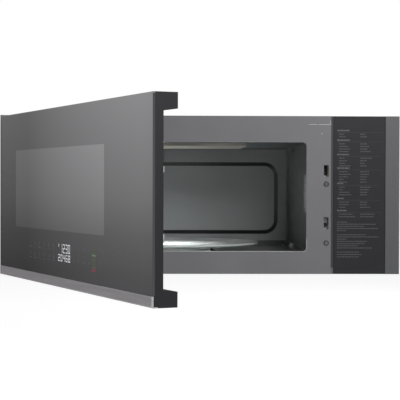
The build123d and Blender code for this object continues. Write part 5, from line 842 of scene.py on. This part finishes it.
def stage():
    """Pale floor, white surround and soft lamps."""
    FLOOR_Z = -0.32
    FLOOR_GLOW = 0.82
    SKY = (0.97, 0.985, 1.0, 1.0)
    SKY_POWER = 0.15
    world = bpy.data.worlds.new("surround")
    bpy.context.scene.world = world
    world.use_nodes = True
    tree = world.node_tree
    out = tree.nodes["World Output"]
    light = tree.nodes["Background"]
    light.inputs["Color"].default_value = SKY
    light.inputs["Strength"].default_value = SKY_POWER
    white = tree.nodes.new("ShaderNodeBackground")
    white.inputs["Color"].default_value = (1.0, 1.0, 1.0, 1.0)
    white.inputs["Strength"].default_value = 1.0
    path = tree.nodes.new("ShaderNodeLightPath")
    seen = path.outputs["Is Camera Ray"]
    for name in ("Is Glossy Ray", "Is Transmission Ray"):
        both = tree.nodes.new("ShaderNodeMath")
        both.operation = "MAXIMUM"
        tree.links.new(seen, both.inputs[0])
        tree.links.new(path.outputs[name], both.inputs[1])
        seen = both.outputs[0]
    mix = tree.nodes.new("ShaderNodeMixShader")
    tree.links.new(seen, mix.inputs[0])
    tree.links.new(light.outputs[0], mix.inputs[1])
    tree.links.new(white.outputs[0], mix.inputs[2])
    tree.links.new(mix.outputs[0], out.inputs["Surface"])

    bm = bmesh.new()
    bmesh.ops.create_grid(bm, x_segments=2, y_segments=2, size=20.0)
    mesh = bpy.data.meshes.new("floor")
    bm.to_mesh(mesh)
    bm.free()
    floor = bpy.data.objects.new("floor", mesh)
    floor.location.z = FLOOR_Z
    bpy.context.scene.collection.objects.link(floor)
    t = Tree("floor", 0.9, specular=0.1)
    t.colour(t.mix(t.noise(3.0, 2.0), (0.4, 0.4, 0.4), (0.42, 0.42, 0.42)))
    path = t.add("ShaderNodeLightPath").outputs
    bounced = t.sum("MAXIMUM", path["Is Glossy Ray"], path["Is Transmission Ray"])
    seen = t.sum("MAXIMUM", path["Is Camera Ray"], bounced)
    t.shader.inputs["Emission Color"].default_value = (1.0, 1.0, 1.0, 1.0)
    t.feed(t.shader.inputs["Emission Strength"], t.sum("MULTIPLY", seen, FLOOR_GLOW))
    mesh.materials.append(t.material)

    for row in LAMPS:
        lamp(*row)
    glow = lamp(*TRAY_LAMP)
    glow.data.spread = math.radians(50)
    glow.visible_camera = False
    glow.visible_glossy = False
    reflection_card()


def lamp(name, at, towards, size, power):
    """A rectangular lamp that points at a place."""
    light = bpy.data.lights.new(name, "AREA")
    light.shape = "RECTANGLE"
    light.size, light.size_y = size
    light.energy = power
    thing = bpy.data.objects.new(name, light)
    thing.location = at
    thing.rotation_euler = (Vector(towards) - Vector(at)).to_track_quat("-Z", "Y").to_euler()
    bpy.context.scene.collection.objects.link(thing)
    return thing


def reflection_card():
    """A graded card left of the object, which only reflections show."""
    CARD_AT = Vector((-1.25, 0.15, 0.15))
    CARD_HALF = (1.1, 0.9)
    TONES = ((0.09, 0.29), (0.29, 0.42), (0.48, 0.63))
    mesh = bpy.data.meshes.new("card")
    bm = bmesh.new()
    bmesh.ops.create_grid(bm, x_segments=1, y_segments=1, size=1.0)
    bm.to_mesh(mesh)
    bm.free()
    card = bpy.data.objects.new("card", mesh)
    card.scale = (CARD_HALF[0], CARD_HALF[1], 1.0)
    card.rotation_euler = (math.radians(90), 0.0, math.radians(104))
    card.location = CARD_AT
    bpy.context.scene.collection.objects.link(card)
    card.visible_camera = False
    card.visible_diffuse = False
    card.visible_shadow = False
    card.visible_transmission = False
    t = Tree("card", 1.0, specular=0.0)
    place = t.add("ShaderNodeNewGeometry").outputs["Position"]
    parts = t.add("ShaderNodeSeparateXYZ", {0: place}).outputs
    upright = t.add("ShaderNodeValToRGB", {"Fac": t.span(parts[2], -0.13, 0.42, 0.0, 1.0)})
    ramp = upright.color_ramp
    ramp.elements[0].color = (0.26, 0.26, 0.27, 1.0)
    ramp.elements[1].color = (1.0, 0.98, 1.0, 1.0)
    for at, tone in TONES:
        ramp.elements.new(at).color = (tone, tone * 0.98, tone, 1.0)
    t.shader.inputs["Base Color"].default_value = (0.0, 0.0, 0.0, 1.0)
    t.feed(t.shader.inputs["Emission Color"], upright.outputs["Color"])
    t.feed(t.shader.inputs["Emission Strength"], t.span(parts[1], 0.0, 0.63, 1.56, 0.52))
    mesh.materials.append(t.material)


def camera():
    """The camera of the photograph."""
    data = bpy.data.cameras.new("camera")
    data.sensor_width = 36.0
    data.lens = CAMERA_LENS
    data.clip_start = 0.05
    data.clip_end = 60.0
    thing = bpy.data.objects.new("camera", data)
    thing.matrix_world = (
        Matrix.Translation(CAMERA_AT)
        @ Matrix.Rotation(CAMERA_YAW, 4, "Z")
        @ Matrix.Rotation(math.radians(90) + CAMERA_PITCH, 4, "X")
        @ Matrix.Rotation(-CAMERA_ROLL, 4, "Z")
    )
    bpy.context.scene.collection.objects.link(thing)
    bpy.context.scene.camera = thing


camera()
stage()
bpy.context.scene.view_settings.view_transform = "Standard"
